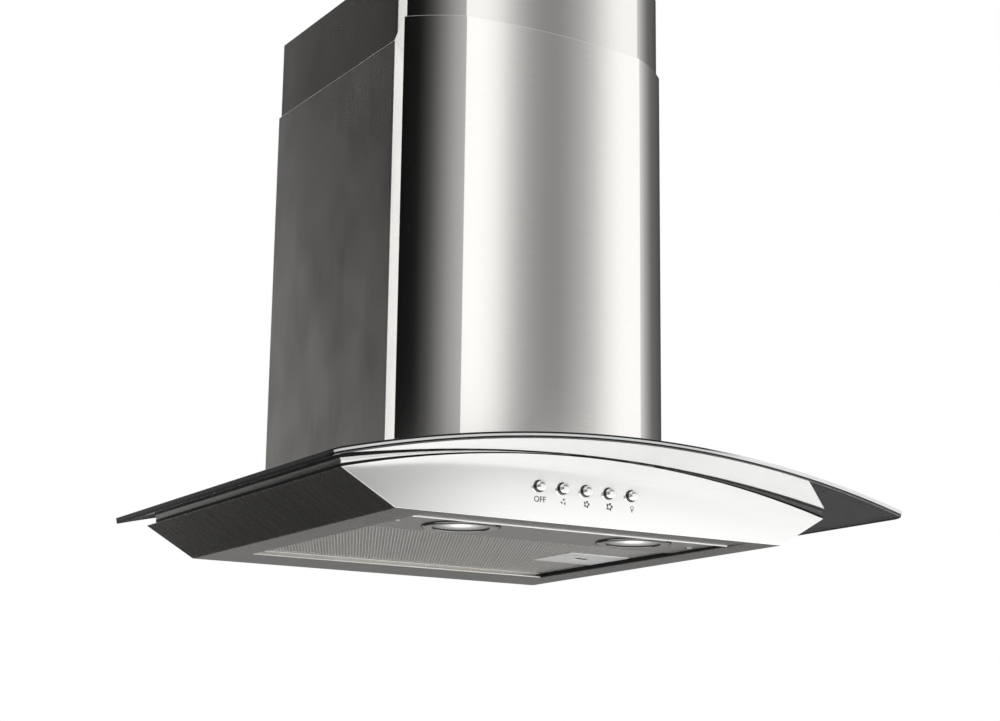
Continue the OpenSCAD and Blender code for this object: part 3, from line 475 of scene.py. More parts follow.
for side in ("left", "right"):
    low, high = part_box("lamp_lens_" + side)
    lamp_glass[side] = lit_glass("lamp_glass_" + side, (low + high) / 2)
    wear(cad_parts["lamp_lens_" + side], lamp_glass[side])
print("solids with a finish:", sum(len(v) for v in worn_by.values()) + len(lamp_glass))

# %% [markdown]
# Bent sheet metal never has a knife edge. The press leaves a small radius at each fold and the
# shear leaves a rounded burr, and both show as thin bright lines. A copy of a solid's mesh is
# merged, its sharp edges are bevelled, and it then stands for that solid.

# %% Helpers for copies of solids
def linked(name, mesh):
    """A new object with a mesh of its own."""
    obj = bpy.data.objects.new(name, mesh)
    bpy.context.scene.collection.objects.link(obj)
    return obj


def merged_copy(node, name):
    """A copy of a solid's mesh whose loose triangles are joined. It stays in edit mode."""
    obj = linked(name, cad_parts[node].data.copy())
    edit(obj)
    bpy.ops.mesh.customdata_custom_splitnormals_clear()
    take_all()
    bpy.ops.mesh.remove_doubles(threshold=2e-6)
    return obj


def break_edges(obj, width, segments=2, angle=40, clamp=False):
    """Bevels every edge at which the surface turns by more than an angle."""
    use(obj, "BEVEL", width=width, segments=segments, limit_method="ANGLE",
        angle_limit=math.radians(angle), use_clamp_overlap=clamp)


def middle_of(part):
    """The middle of a face, or of another part of a mesh."""
    return part.calc_center_median()

# %% Folds of the canopy
NEAR = 0.1 * MM
ON_PLANE = 0.01 * MM
FOLD_RADIUS = 1.1 * MM
LIP_SHOWS = 0.9 * MM
LIP_T = 1.2 * MM
LIP_HEIGHT = 2.6 * MM
plate_low, plate_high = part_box("lamp_plate")
recess_x = plate_high.x + PLAY
recess_front = plate_low.y - PLAY
recess_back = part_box("filter_frame")[1].y + 1.0 * MM
filter_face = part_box("filter_mesh")[0].z


def rim_fold(edge):
    """Edges along which the sheet is folded: the shoulder, the rim's sides and the opening."""
    ends = [v.co for v in edge.verts]
    if all(abs(abs(p.x) - deck_half) < NEAR and p.z > SHOULDER_Z - 5 * MM for p in ends):
        return abs(ends[0].y - ends[1].y) > 0.1
    if max(abs(p.z - RIM_Z) for p in ends) > ON_PLANE:
        return False
    outer = all(abs(abs(p.x) - rim_half) < NEAR for p in ends)
    side = all(abs(abs(p.x) - recess_x) < NEAR for p in ends)
    across = any(all(abs(p.y - y) < NEAR and abs(p.x) < recess_x + NEAR for p in ends)
                 for y in (recess_front, recess_back))
    return outer or side or across


print("opening", round(2 * recess_x, 4), "wide and", round(recess_back - recess_front, 4), "deep")

# %% Helper for sheet pieces with rounded edges
def softened(node, finish, slot, body="hood", width=0.35 * MM, folds=None, shaped=None):
    """A solid's copy with bevelled edges, which then stands for the solid."""
    obj = merged_copy(node, node + "_sheet")
    bpy.ops.mesh.dissolve_limited(angle_limit=math.radians(0.4))
    if folds:
        choose(obj, edges=folds)
        bpy.ops.mesh.bevel(offset=FOLD_RADIUS, segments=3, affect="EDGES", clamp_overlap=False)
    if shaped:
        shaped(obj)
    leave()
    break_edges(obj, width)
    edit(obj)
    take_all()
    bpy.ops.mesh.quads_convert_to_tris(quad_method="BEAUTY", ngon_method="BEAUTY")
    leave()
    smooth(obj)
    wear(obj, finish)
    return hand_over(obj, body, slot, node)

# %% Canopy shell
def lift_front_strip(obj):
    """The rim's front strip rises to its inner edge, so that the lip behind it shows."""
    for x in (recess_x - MM, MM - recess_x):
        take_all()
        bpy.ops.mesh.bisect(plane_co=(x, 0, 0), plane_no=(1, 0, 0))
    choose(obj, verts=lambda v: abs(v.co.x) < recess_x - 0.9 * MM and v.co.z < RIM_Z + 3 * MM
           and abs(v.co.y - recess_front) < 1.3 * MM)
    bpy.ops.transform.translate(value=(0, 0, LIP_SHOWS))


def recess_wall_painted_shade(face):
    """A side wall of the opening, seen from inside it, which is painted black rubber as shade."""
    at = middle_of(face)
    return (abs(face.normal.x) > 0.9 and face.normal.z > -0.3
            and abs(abs(at.x) - recess_x) < 0.2 * MM and at.z < RIM_Z + 14 * MM)


def outer_side(face):
    """The slanting side of the canopy between the deck and the rim."""
    x = middle_of(face).x
    return (face.normal.z < -0.05 and abs(face.normal.x) > 0.4 and face.normal.x * x > 0
            and abs(x) > recess_x + 8 * MM)


shell = softened("canopy_shell", body_steel, "canopy_steel", folds=rim_fold,
                 shaped=lift_front_strip)
# The opening's side walls are painted black rubber as shade.
paint(shell, rubber, recess_wall_painted_shade)
# The canopy's slanting sides are painted darker as shade.
paint(shell, canopy_side_shaded_steel, outer_side)

# %% Front panel, lamp plate, filter frame and handle
fascia = softened("front_fascia", panel_steel, "panel_steel", width=0.3 * MM)
# The panel's end faces get a painted highlight.
paint(fascia, painted_highlight_steel, lambda f: abs(f.normal.x) > 0.4 and abs(middle_of(f).x) > rim_half - MM)
softened("lamp_plate", plate_steel, "plate_steel", width=0.3 * MM)
softened("filter_frame", filter_aluminium, "filter_aluminium", "filter", 0.25 * MM)
handle = softened("filter_handle", handle_steel, "handle_steel", "filter", 0.4 * MM)
# The handle's lower front and left faces get a painted highlight.
paint(handle, painted_highlight_steel, lambda f: min(f.normal.x, f.normal.y) < -0.4
      and middle_of(f).z < filter_face + MM)

# %% [markdown]
# A rolled lip closes the front of the opening, just behind the rim's front strip. Seen from below
# it is the thin bright line between the strip and the lamp plate, and its pale finish is a painted
# highlight. It starts as a cube of its size, and its lower edges are rounded over.

# %% Lip at the front of the opening
pick()
lip_place = (0, recess_front + 0.65 * MM, RIM_Z + LIP_HEIGHT / 2)
bpy.ops.mesh.primitive_cube_add(size=1.0, location=lip_place)
lip = added("recess_lip")
lip.scale = (2 * recess_x - MM, LIP_T, LIP_HEIGHT)
settle(lip)
edit(lip)
choose(lip, edges=lambda e: all(v.co.z < RIM_Z + MM for v in e.verts)
       and abs(e.verts[0].co.x - e.verts[1].co.x) > 0.1)
bpy.ops.mesh.bevel(offset=0.5 * MM, segments=4, affect="EDGES", clamp_overlap=False)
leave()
smooth(lip)
# The lip's finish is a painted highlight.
wear(lip, painted_highlight_steel)
hand_over(lip, "hood", "canopy_steel")

# %% [markdown]
# Between the glass and the steel lies a black rubber bead, and above it a thin rail that is glued
# to the glass. Both come from the seat's solid: a round tool on the axis of the arch is laid
# through a merged copy of it, and a Boolean keeps what lies inside the tool for the bead and what
# lies outside it for the rail. The gap is one millimetre in the middle and five at the ends, and
# the rail fills what the bead leaves. The rail's front has a painted highlight on the left, where
# it shows as a bright line, and painted shade, a dark line, on the right.

# %% Helpers for cutting with a round tool
TOOL_SIDES, TOOL_LENGTH, TOOL_Y = 1440, 1.0, -0.3


def arch_tool(radius, centre_z):
    """A long cylinder on the axis of an arch, to cut with."""
    pick()
    bpy.ops.mesh.primitive_cylinder_add(vertices=TOOL_SIDES, radius=radius, depth=TOOL_LENGTH,
                                        location=(0, TOOL_Y, centre_z), rotation=FACING_FRONT)
    return settle(added("tool"))


def cut(obj, operation, tool):
    """Applies a Boolean with a tool, which is then thrown away."""
    use(obj, "BOOLEAN", operation=operation, object=tool, solver="EXACT")
    bpy.data.objects.remove(tool)

# %% Rubber bead and glass rail
BEAD_SHARE = 0.55
RAIL_CHANGE = 60.0 * MM
crown_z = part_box("glass_seat")[1].z - 0.02 * MM
bead_end_z = SHOULDER_Z + SEAT_END * BEAD_SHARE
bead_radius = radius_of(deck_half, crown_z - bead_end_z)
for name, keep, finish in (("seat_bead", "INTERSECT", rubber),
                           ("glass_rail", "DIFFERENCE", rail_steel)):
    part = merged_copy("glass_seat", name)
    leave()
    cut(part, keep, arch_tool(bead_radius, crown_z - bead_radius))
    break_edges(part, 0.15 * MM, segments=1, clamp=True)
    smooth(part)
    wear(part, finish)
    if name == "glass_rail":
        edit(part)
        take_all()
        bpy.ops.mesh.bisect(plane_co=(RAIL_CHANGE, 0, 0), plane_no=(1, 0, 0))
        leave()
        # The rail's front is a painted highlight on the left and painted shade on the right.
        paint(part, painted_highlight_steel, lambda f: f.normal.y < -0.5 and middle_of(f).x < RAIL_CHANGE)
        paint(part, painted_rail_shade, lambda f: f.normal.y < -0.5 and middle_of(f).x > RAIL_CHANGE)
    hand_over(part, "hood", "rubber", "glass_seat")
print("bead radius", round(bead_radius, 4))

# %% [markdown]
# The glass lies on the deck's seat, one millimetre above the steel in the middle and five at the
# ends. These two gaps fix the radius of its arch, and with it the axis that the glass, its edges
# and the chimney's foot share.

# %% Arch of the glass
half_glass = glass_high.x
glass_mid_top = glass_high.z
seat_drop = (glass_mid_top - GLASS_T) - SHOULDER_Z - SEAT_END
glass_radius = radius_of(deck_half, seat_drop) + GLASS_T
axis_z = glass_mid_top - glass_radius
end_drop = glass_radius - math.sqrt(glass_radius ** 2 - half_glass ** 2)
print("glass radius", round(glass_radius, 4), "drop at the ends", round(end_drop, 4))

# %% [markdown]
# Light that enters a thick sheet runs inside it and comes out at the ground edge, so the edge
# shows thin lines of light and dark that follow the sheet. Here those lines are painted into the
# edge's colour, as painted highlight and painted shade. The distance from the arch's axis, worked
# out from Object coordinates, says how far up the edge a point lies. The front edge has a painted
# bright line, which grows wider and brighter towards the right end, and the side edges, which face
# away from the light, are painted nearly black as shade.

# %% Helpers for ramps and mixes
END_NEAR = 1e-4


def add_stops(ramp, pairs, hue):
    """Puts stops on a ramp, from pairs of place and tone, in shares of red, green and blue."""
    stops = ramp.color_ramp.elements
    for at, tone in pairs:
        stop = stops[0] if at < END_NEAR else stops[-1] if at > 1 - END_NEAR else stops.new(at)
        stop.color = (*[tone * share for share in hue], 1.0)
    return ramp.outputs["Color"]


def mixed(nodes, links, share, first, second):
    """The first colour where the share is nought, and the second where it is one."""
    blend = nodes.new("ShaderNodeMix")
    blend.data_type = "RGBA"
    links.new(share, blend.inputs["Factor"])
    for colour, socket in zip((first, second), [s for s in blend.inputs if s.type == "RGBA"]):
        links.new(colour, socket)
    return next(s for s in blend.outputs if s.type == "RGBA")

# %% Painted light and shade of the ground edges
CHANGE_FROM, CHANGE_TO = 60.0 * MM, 110.0 * MM
EDGE_HUE = (0.99, 1.0, 0.99)


def painted_edge_lines(name, lines, right_painted_lines=None, shine=0.12):
    """Polished glass edge, painted with light and shade: pairs of height share, from the underside
    up, and tone.
    """
    finish = Finish(name, (0.3, 0.31, 0.3), roughness=0.25, Specular_IOR_Level=shine)
    from_axis = finish.place(scale=(1, 0, 1), move=(0, 0, -axis_z))
    reach = finish.node("ShaderNodeVectorMath")
    reach.operation = "LENGTH"
    finish.link(from_axis, reach.inputs[0])
    share = finish.remap(reach.outputs["Value"], 0.0, 1.0, start=glass_radius - GLASS_T,
                         end=glass_radius)
    tones = []
    for pairs in (lines, right_painted_lines or lines):
        ramp = finish.node("ShaderNodeValToRGB")
        finish.link(share, ramp.inputs["Fac"])
        tones.append(add_stops(ramp, pairs, EDGE_HUE))
    split = finish.node("ShaderNodeSeparateXYZ")
    finish.link(finish.place(), split.inputs["Vector"])
    to_right = finish.remap(split.outputs["X"], 0.0, 1.0, start=CHANGE_FROM, end=CHANGE_TO)
    finish.link(mixed(finish.nodes, finish.links, to_right, *tones),
                finish.shader.inputs["Base Color"])
    grit = finish.noise(finish.place(), 700.0, detail=2.0)
    finish.rough(grit, 0.2, 0.35)
    return finish


# Painted tones across the edge's height: highlight and shade lines for the front, near black shade
# for the sides.
left_painted_lines = [
    (0.0, 0.08), (0.18, 0.09), (0.21, 0.003), (0.38, 0.003),
    (0.43, 0.48), (0.68, 0.50), (0.74, 0.01), (1.0, 0.01),
]
right_painted_lines = [
    (0.0, 0.10), (0.17, 0.10), (0.20, 0.008), (0.37, 0.008),
    (0.42, 0.66), (0.70, 0.60), (0.76, 0.72), (1.0, 0.60),
]
side_painted_shade_lines = [
    (0.0, 0.004), (0.30, 0.004), (0.42, 0.020), (0.60, 0.030), (0.80, 0.020), (1.0, 0.006),
]
front_edge_painted_light = painted_edge_lines("glass_front_edge_painted_light", left_painted_lines, right_painted_lines)
side_edge_painted_shade = painted_edge_lines("glass_side_edge_painted_shade", side_painted_shade_lines, shine=0.05)
print("materials so far:", len(bpy.data.materials))

# %% [markdown]
# Outlines are drawn with one vertex, as with a pen: it is extruded along each straight edge and
# spun along each arc, so an arc is a true one and its number of points is chosen. The same
# helpers draw the glass, the chimney's covers and the sections of the turned parts.

# %% Helpers for outlines
def seed(name, place):
    """A mesh of one vertex: a plane merged into its middle and moved. It stays in edit mode."""
    pick()
    bpy.ops.mesh.primitive_plane_add(size=MM)
    obj = added(name)
    edit(obj)
    take_all()
    bpy.ops.mesh.merge(type="CENTER")
    bpy.ops.transform.translate(value=place)
    return obj


def tip(obj):
    """Where the one selected vertex is."""
    mesh = bmesh.from_edit_mesh(obj.data)
    return next(v.co.copy() for v in mesh.verts if v.select)


def line_to(obj, point):
    bpy.ops.mesh.extrude_vertices_move(TRANSFORM_OT_translate={"value": Vector(point) - tip(obj)})


def arc_to(obj, point, radius, steps):
    """Spins the selected vertex round to a point; the centre is on the right of the way there."""
    start, end = tip(obj), Vector(point)
    chord = end - start
    right = chord.cross(Vector((0, 0, 1))).normalized()
    half = chord.length / 2
    centre = (start + end) / 2 + right * math.sqrt(radius ** 2 - half ** 2)
    bpy.ops.mesh.spin(steps=steps, angle=2 * math.asin(half / radius), center=centre,
                      axis=(0, 0, 1))


def flat(x):
    """Where a point of the arched top lies on the flat sheet."""
    return glass_radius * math.asin(x / glass_radius)

# %% [markdown]
# The glass is modelled as the real sheet is made: cut flat, then sagged over a round former. Its
# front edge is spun as a shallow bow, the sheet is extruded back from it, a notch is cut for the
# motor box, and the front corners are rounded. Bending comes next, then thickness, and last the
# ground edges.

# %% Outline of the flat glass
box_low, box_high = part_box("motor_box")
notch_x = flat(box_high.x + PLAY)
notch_y = box_low.y - PLAY
edge_x = flat(half_glass)
glass = seed("glass_sheet", (edge_x, glass_low.y + GLASS_BOW, 0))
arc_to(glass, (-edge_x, glass_low.y + GLASS_BOW, 0), radius_of(edge_x, GLASS_BOW), 96)
take_all()
bpy.ops.mesh.extrude_region_move(TRANSFORM_OT_translate={"value": (0, 1, 0)})
bpy.ops.transform.resize(value=(1, 0, 1), center_override=(0, glass_high.y, 0))
take_all()
back_y = max(v.co.y for v in bmesh.from_edit_mesh(glass.data).verts)
bpy.ops.transform.translate(value=(0, glass_high.y - back_y, 0))
for place, normal in (((notch_x, 0, 0), (1, 0, 0)), ((-notch_x, 0, 0), (1, 0, 0)),
                      ((0, notch_y, 0), (0, 1, 0))):
    take_all()
    bpy.ops.mesh.bisect(plane_co=place, plane_no=normal)
choose(glass, faces=lambda f: abs(middle_of(f).x) < notch_x and middle_of(f).y > notch_y)
bpy.ops.mesh.delete(type="FACE")
choose(glass, verts=lambda v: abs(v.co.x) > edge_x - MM and v.co.y < glass_low.y + 2 * GLASS_BOW)
bpy.ops.mesh.bevel(offset=GLASS_CORNER, segments=7, affect="VERTICES", clamp_overlap=False)
leave()
flat_low = min(v.co.y for v in glass.data.vertices)
print("flat sheet", round(2 * edge_x, 4), "wide, front at", round(flat_low, 4),
      "CAD", round(glass_low.y, 4))

# %% Helpers for sheets
def turn_over(obj):
    edit(obj)
    take_all()
    bpy.ops.mesh.flip_normals()
    leave()


def thicken(obj, thickness):
    """Gives a sheet its thickness, on the side that its faces turn away from."""
    use(obj, "SOLIDIFY", thickness=thickness, offset=-1.0, use_even_offset=True,
        use_quality_normals=True)

# %% Sag the glass and grind its edges
pick(glass)
bpy.ops.object.empty_add(location=(0, 0, 0), rotation=FACING_FRONT)
former = bpy.context.active_object
bpy.context.view_layer.update()
use(glass, "SIMPLE_DEFORM", deform_method="BEND", deform_axis="Z", origin=former,
    angle=-2 * edge_x / glass_radius)
bpy.data.objects.remove(former)
edit(glass)
take_all()
bpy.ops.transform.translate(value=(0, 0, glass_mid_top))
bpy.ops.mesh.normals_make_consistent(inside=False)
leave()
if glass.data.polygons[0].normal.z < 0:
    turn_over(glass)
thicken(glass, GLASS_T)
break_edges(glass, 0.9 * MM, segments=3, angle=50)
smooth(glass, 30)
wear(glass, smoked_glass)
# The front edges get the painted highlight lines, and the side edges the painted shade.
paint(glass, front_edge_painted_light, lambda f: abs(f.normal.z) < 0.8 and abs(f.normal.y) >= 0.3)
paint(glass, side_edge_painted_shade, lambda f: abs(f.normal.z) < 0.8 and abs(f.normal.y) < 0.3)
hand_over(glass, "hood", "canopy_glass", "glass_canopy")
low_z = min(v.co.z for v in glass.data.vertices)
print("glass z from", round(low_z, 4), "CAD", round(glass_low.z, 4))

# %% [markdown]
# Each chimney section has a folded front cover: a narrow strip that flares out from the side
# panel, a facet, a crease, and a bowed middle. A vertex is extruded and spun round that outline,
# so the bows are true arcs. The outline is raised into a sheet and given the thickness of steel.
# The lower cover stands on the arched glass, so its foot is scribed to a cylinder of that arch.

# %% Outline of a cover
facet_radius = radius_of((CORNER - Vector((CREASE_X, CREASE_Y, 0))).length / 2, FACET_BOW)
front_radius = radius_of(CREASE_X, FRONT_BOW)


def inward(before, at, after, depth):
    """A bend moved in by a depth, square to both of its sides."""
    sides = []
    for a, b in ((before, at), (at, after)):
        way = (b - a).normalized()
        sides.append(Vector((way.y, -way.x, 0)))
    total = sides[0] + sides[1]
    return at + total * (depth / (1 + sides[0].dot(sides[1])))


def bow_middle(a, b, radius):
    """The middle of an arc from a to b that bows to the left of the way there."""
    chord = b - a
    left = Vector((-chord.y, chord.x, 0)).normalized()
    return (a + b) / 2 + left * (radius - math.sqrt(radius ** 2 - chord.length_squared / 4))


def cover_outline(name, inset):
    crease = Vector((CREASE_X, CREASE_Y, 0))
    across = Vector((-CREASE_X, CREASE_Y, 0))
    facet_mid = bow_middle(CORNER, crease, facet_radius)
    front_mid = bow_middle(crease, across, front_radius)
    root = inward(FLARE, FLARE + (CORNER - FLARE) * 0.01, CORNER, inset) - (CORNER - FLARE) * 0.01
    bend = inward(FLARE, CORNER, facet_mid, inset)
    fold = inward(facet_mid, crease, front_mid, inset)
    obj = seed(name, root)
    line_to(obj, bend)
    arc_to(obj, fold, facet_radius - inset, 24)
    arc_to(obj, (-fold.x, fold.y, 0), front_radius - inset, 40)
    arc_to(obj, (-bend.x, bend.y, 0), facet_radius - inset, 24)
    line_to(obj, (-root.x, root.y, 0))
    print(name, "ends at", [round(c, 4) for c in tip(obj)])
    return obj

# %% From an outline to a sheet
def outward(obj):
    """Joins doubled points and makes all the faces of a shape point the same way, outwards."""
    edit(obj)
    take_all()
    bpy.ops.mesh.remove_doubles(threshold=1e-6)
    bpy.ops.mesh.normals_make_consistent(inside=False)
    leave()


def raise_cover(obj, low, high):
    """Draws an outline up into a wall that faces the room, and gives it the thickness of steel."""
    take_all()
    bpy.ops.transform.translate(value=(0, 0, low))
    bpy.ops.mesh.extrude_region_move(TRANSFORM_OT_translate={"value": (0, 0, high - low)})
    leave()
    outward(obj)
    middle = min(obj.data.polygons, key=lambda f: f.center.y)
    if middle.normal.y > 0:
        turn_over(obj)
    thicken(obj, SHEET)


def finish_cover(obj, finish):
    """Breaks the cover's edges and creases, which turn by at least 14 degrees."""
    break_edges(obj, 0.3 * MM, angle=14)
    smooth(obj, 13)
    wear(obj, finish)

# %% Lower cover, scribed to the glass
seam_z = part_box("lower_chimney_front")[1].z
lower_cover = cover_outline("lower_cover", 0.0)
raise_cover(lower_cover, glass_low.z, seam_z)
cut(lower_cover, "DIFFERENCE", arch_tool(glass_radius + 0.05 * MM, axis_z))
finish_cover(lower_cover, front_steel)
hand_over(lower_cover, "hood", "chimney_front_steel", "lower_chimney_front")

# %% Upper cover, one slide gap inside the lower one
upper_cover = cover_outline("upper_cover", SLIDE_INSET)
raise_cover(upper_cover, upper_low.z, upper_high.z)
finish_cover(upper_cover, upper_front_steel)
hand_over(upper_cover, "upper_chimney", "upper_front_steel", "upper_chimney_front")

# %% [markdown]
# The side panels are flat sheets with folded fronts, so softened copies of the solids serve. The
# lower panel's upper edge has a painted highlight, which shows as a thin bright line at the seam
# between the two sections.

# %% Side panels
lower_sides = softened("lower_chimney_sides", shaded_side_steel, "chimney_side_steel", width=0.32 * MM)
sides_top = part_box("lower_chimney_sides")[1].z
# The top edge of the lower side panel gets a painted highlight.
paint(lower_sides, painted_highlight_steel, lambda f: f.normal.z > 0.2 and middle_of(f).z > sides_top - MM)
softened("upper_chimney_sides", upper_side_steel, "upper_side_steel", "upper_chimney", 0.25 * MM)

# %% [markdown]
# Lamp rings, lenses and buttons are turned parts, so they are made as a turner would see them:
# half of the section is drawn point by point, and the spin operator carries it round its axis.
# A small bevel then takes off the sharp corners.

# %% Turned parts
def spun(name, section, centre, axis, steps):
    """Turns a section of (radius, height) points round an axis through the centre."""
    points = [Vector(centre) + Vector((1, 0, 0)) * r + Vector(axis) * h for r, h in section]
    obj = seed(name, points[0])
    for point in points[1:]:
        line_to(obj, point)
    if section[0][0] > 0 or section[-1][0] > 0:
        take_all()
        choose(obj, verts=lambda v: min((v.co - points[0]).length,
                                        (v.co - points[-1]).length) < 1e-7)
        bpy.ops.mesh.edge_face_add()
    take_all()
    bpy.ops.mesh.spin(steps=steps, angle=math.tau, center=centre, axis=axis)
    leave()
    outward(obj)
    return obj


def rounded(obj, width, angle=25):
    break_edges(obj, width, angle=angle, clamp=True)
    smooth(obj)

# %% [markdown]
# Each lamp is a chromed ring, a thin black rubber gasket round it and a domed glass. The ring's
# inner step is painted black as shade, and the gasket is painted shade that stands in for the gap
# at the ring's edge. All three are turned from their own sections, with radii and heights read from
# the boxes of the solids.

# %% Lamp rings and lenses
for side in ("left", "right"):
    ring_low, ring_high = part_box("lamp_ring_" + side)
    lens_low, lens_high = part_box("lamp_lens_" + side)
    centre = Vector(((ring_low.x + ring_high.x) / 2, (ring_low.y + ring_high.y) / 2, 0))
    ring_r = (ring_high.x - ring_low.x) / 2
    lens_r = (lens_high.x - lens_low.x) / 2
    open_r = lens_r - 1.5 * MM
    seat = lens_low.z
    section = [
        (open_r, seat), (open_r, ring_low.z + 0.5 * MM), (open_r + 0.6 * MM, ring_low.z),
        (ring_r - 2.4 * MM, ring_low.z), (ring_r - 0.7 * MM, ring_low.z + 0.5 * MM),
        (ring_r, ring_low.z + 1.2 * MM), (ring_r, seat),
        (lens_r + 2 * MM, seat), (lens_r + 2 * MM, ring_high.z), (lens_r + 0.05 * MM, ring_high.z),
        (lens_r + 0.05 * MM, seat),
    ]
    ring = spun("ring_" + side, section, centre, (0, 0, 1), 96)
    rounded(ring, 0.25 * MM)
    wear(ring, lamp_chrome)
    # The ring's inner step is painted black as shade.
    paint(ring, black_plastic, lambda f: abs(f.normal.z) < 0.75 and middle_of(f).z < seat - 0.1 * MM
          and (middle_of(f).xy - centre.xy).length < open_r + 0.5 * MM)
    hand_over(ring, "hood", "lamp_chrome", "lamp_ring_" + side)
    # The black rubber gasket is painted shade for the gap round the ring.
    section = [
        (ring_r + 0.02 * MM, ring_low.z + 0.7 * MM), (ring_r + 0.55 * MM, ring_low.z + 0.9 * MM),
        (ring_r + 0.7 * MM, seat), (ring_r + 0.02 * MM, seat),
    ]
    shadow_gasket = spun("shadow_gasket_" + side, section, centre, (0, 0, 1), 96)
    smooth(shadow_gasket)
    wear(shadow_gasket, rubber)
    hand_over(shadow_gasket, "hood", "rubber")
    section = [
        (0.0, lens_low.z + 0.5 * MM), (lens_r * 0.45, lens_low.z + 0.42 * MM),
        (lens_r * 0.75, lens_low.z + 0.2 * MM), (lens_r * 0.9, lens_low.z),
        (lens_r - 0.1 * MM, lens_low.z), (lens_r - 0.1 * MM, lens_high.z), (0.0, lens_high.z),
    ]
    lens = spun("lens_" + side, section, centre, (0, 0, 1), 72)
    rounded(lens, 0.15 * MM, angle=50)
    wear(lens, lamp_glass[side])
    hand_over(lens, "hood", "lamp_glass", "lamp_lens_" + side)

# %% [markdown]
# The filter's face is expanded metal: a sheet is slit and pulled so that it opens into rows of
# diamonds. A grid is poked so that each cell has a middle point, and the cell borders are then
# dissolved, which leaves the diamonds. Each one is inset by half a strand, and its inside is
# deleted. The grid stops short of the handle, whose plate covers the cut.

# %% Grid of the filter mesh
STRAND = 0.8 * MM
STRAND_T = 0.2 * MM
CELL_X = 3.4 * MM
CELL_Y = 6.6 * MM
COVERED = 2.0 * MM
mesh_low, mesh_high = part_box("filter_mesh")
grip_low, grip_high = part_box("filter_handle")
columns = round((mesh_high.x - mesh_low.x) / CELL_X)
rows = round((mesh_high.y - mesh_low.y) / CELL_Y)
middle = (mesh_low + mesh_high) / 2
pick()
bpy.ops.mesh.primitive_grid_add(x_subdivisions=columns, y_subdivisions=rows, size=1.0,
                                location=(middle.x, middle.y, mesh_low.z))
netting = added("expanded_mesh")
netting.scale = (mesh_high.x - mesh_low.x, mesh_high.y - mesh_low.y, 1.0)
settle(netting)
print("grid of", columns, "by", rows, "cells")

# %% Diamonds of the mesh
edit(netting)
take_all()
bpy.ops.mesh.poke()
choose(netting, edges=lambda e: not e.is_boundary and min(
    abs(e.verts[0].co.x - e.verts[1].co.x), abs(e.verts[0].co.y - e.verts[1].co.y)) < 1e-6)
bpy.ops.mesh.dissolve_edges(use_verts=False, use_face_split=False)


def under_handle(face):
    """Cells that the handle's plate hides, apart from those under its border."""
    at = middle_of(face)
    return at.x > grip_low.x + COVERED and grip_low.y + COVERED < at.y < grip_high.y - COVERED


choose(netting, faces=under_handle)
bpy.ops.mesh.delete(type="FACE")
bpy.ops.mesh.select_mode(type="FACE")
take_all()
bpy.ops.mesh.inset(thickness=STRAND / 2, use_individual=True, use_boundary=True)
bpy.ops.mesh.delete(type="FACE")
take_all()
bpy.ops.mesh.normals_make_consistent(inside=False)
leave()
print("faces in the mesh", len(netting.data.polygons))

# %% Thickness of the mesh
def move(obj, shift):
    """Moves a mesh inside its object, which stays at the origin."""
    edit(obj)
    take_all()
    bpy.ops.transform.translate(value=shift)
    leave()


use(netting, "SOLIDIFY", thickness=STRAND_T, offset=1.0)
net_z = min(v.co.z for v in netting.data.vertices)
if net_z < mesh_low.z - 1e-6:
    move(netting, (0, 0, mesh_low.z - net_z))
wear(netting, mesh_metal)
hand_over(netting, "filter", "filter_mesh_metal", "filter_mesh")

# %% [markdown]
# Each of the five push buttons stands in a thin ring of dark chrome. The cap is turned with a
# rounded shoulder and a barely domed face. All five are alike, so one is made and the others are
# copies of its mesh, each moved one pitch along.

# %% Cap of a push button
button_names = ["button_off", "button_low", "button_mid", "button_high", "button_light"]
first_low, first_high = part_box(button_names[0])
button_r = (first_high.x - first_low.x) / 2
STEM_R = 2.0 * MM
first_x = (first_low.x + first_high.x) / 2
button_z = (first_low.z + first_high.z) / 2
face_y = first_low.y
root_y = fascia_low.y + 2.4 * MM
section = [
    (0.0, 0.0), (button_r * 0.5, 0.02 * MM), (button_r * 0.86, 0.07 * MM),
    (button_r * 0.96, 0.30 * MM), (button_r, 0.75 * MM), (button_r, root_y - face_y),
    (STEM_R, root_y - face_y), (STEM_R, first_high.y - face_y), (0.0, first_high.y - face_y),
]
cap = spun("cap", section, (first_x, face_y, button_z), (0, 1, 0), 48)
rounded(cap, 0.12 * MM, angle=40)
print("cap radius", round(button_r, 4), "faces", len(cap.data.polygons))

# %% Ring of a push button
ring_low, ring_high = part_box("button_rings")
ring_r = (ring_high.z - ring_low.z) / 2
bore = button_r + 0.05 * MM
ring_out = fascia_low.y - ring_low.y
section = [
    (bore, 0.35 * MM), (bore + 0.3 * MM, 0.0), (ring_r - 0.45 * MM, 0.12 * MM), (ring_r, 0.7 * MM),
    (ring_r, ring_out), (bore + 0.5 * MM, ring_out), (bore + 0.5 * MM, ring_high.y - ring_low.y),
    (bore, ring_high.y - ring_low.y),
]
collar = spun("collar", section, (first_x, ring_low.y, button_z), (0, 1, 0), 48)
rounded(collar, 0.08 * MM, angle=40)
print("ring radius", round(ring_r, 4), "faces", len(collar.data.polygons))

# %% Five buttons with their rings
for count, node in enumerate(button_names):
    for source, name, finish, body, slot, solid in (
            (cap, "cap_" + node, chrome, node, "button_chrome", node),
            (collar, "ring_" + node, ring_chrome, "hood", "ring_chrome", "button_rings")):
        piece = linked(name, source.data.copy())
        move(piece, (count * BUTTON_PITCH, 0, 0))
        wear(piece, finish)
        hand_over(piece, body, slot, solid)
for spare in (cap, collar):
    bpy.data.objects.remove(spare)

# %% [markdown]
# Below the buttons stand small printed marks: the word OFF, three fans of rising size for the
# three speeds, and a lamp. Ink on steel is only a few hundredths of a millimetre thick, so each
# mark is a thin plate on the panel's face. The word is a text object made into a mesh, and the
# signs are put together from discs and petals.

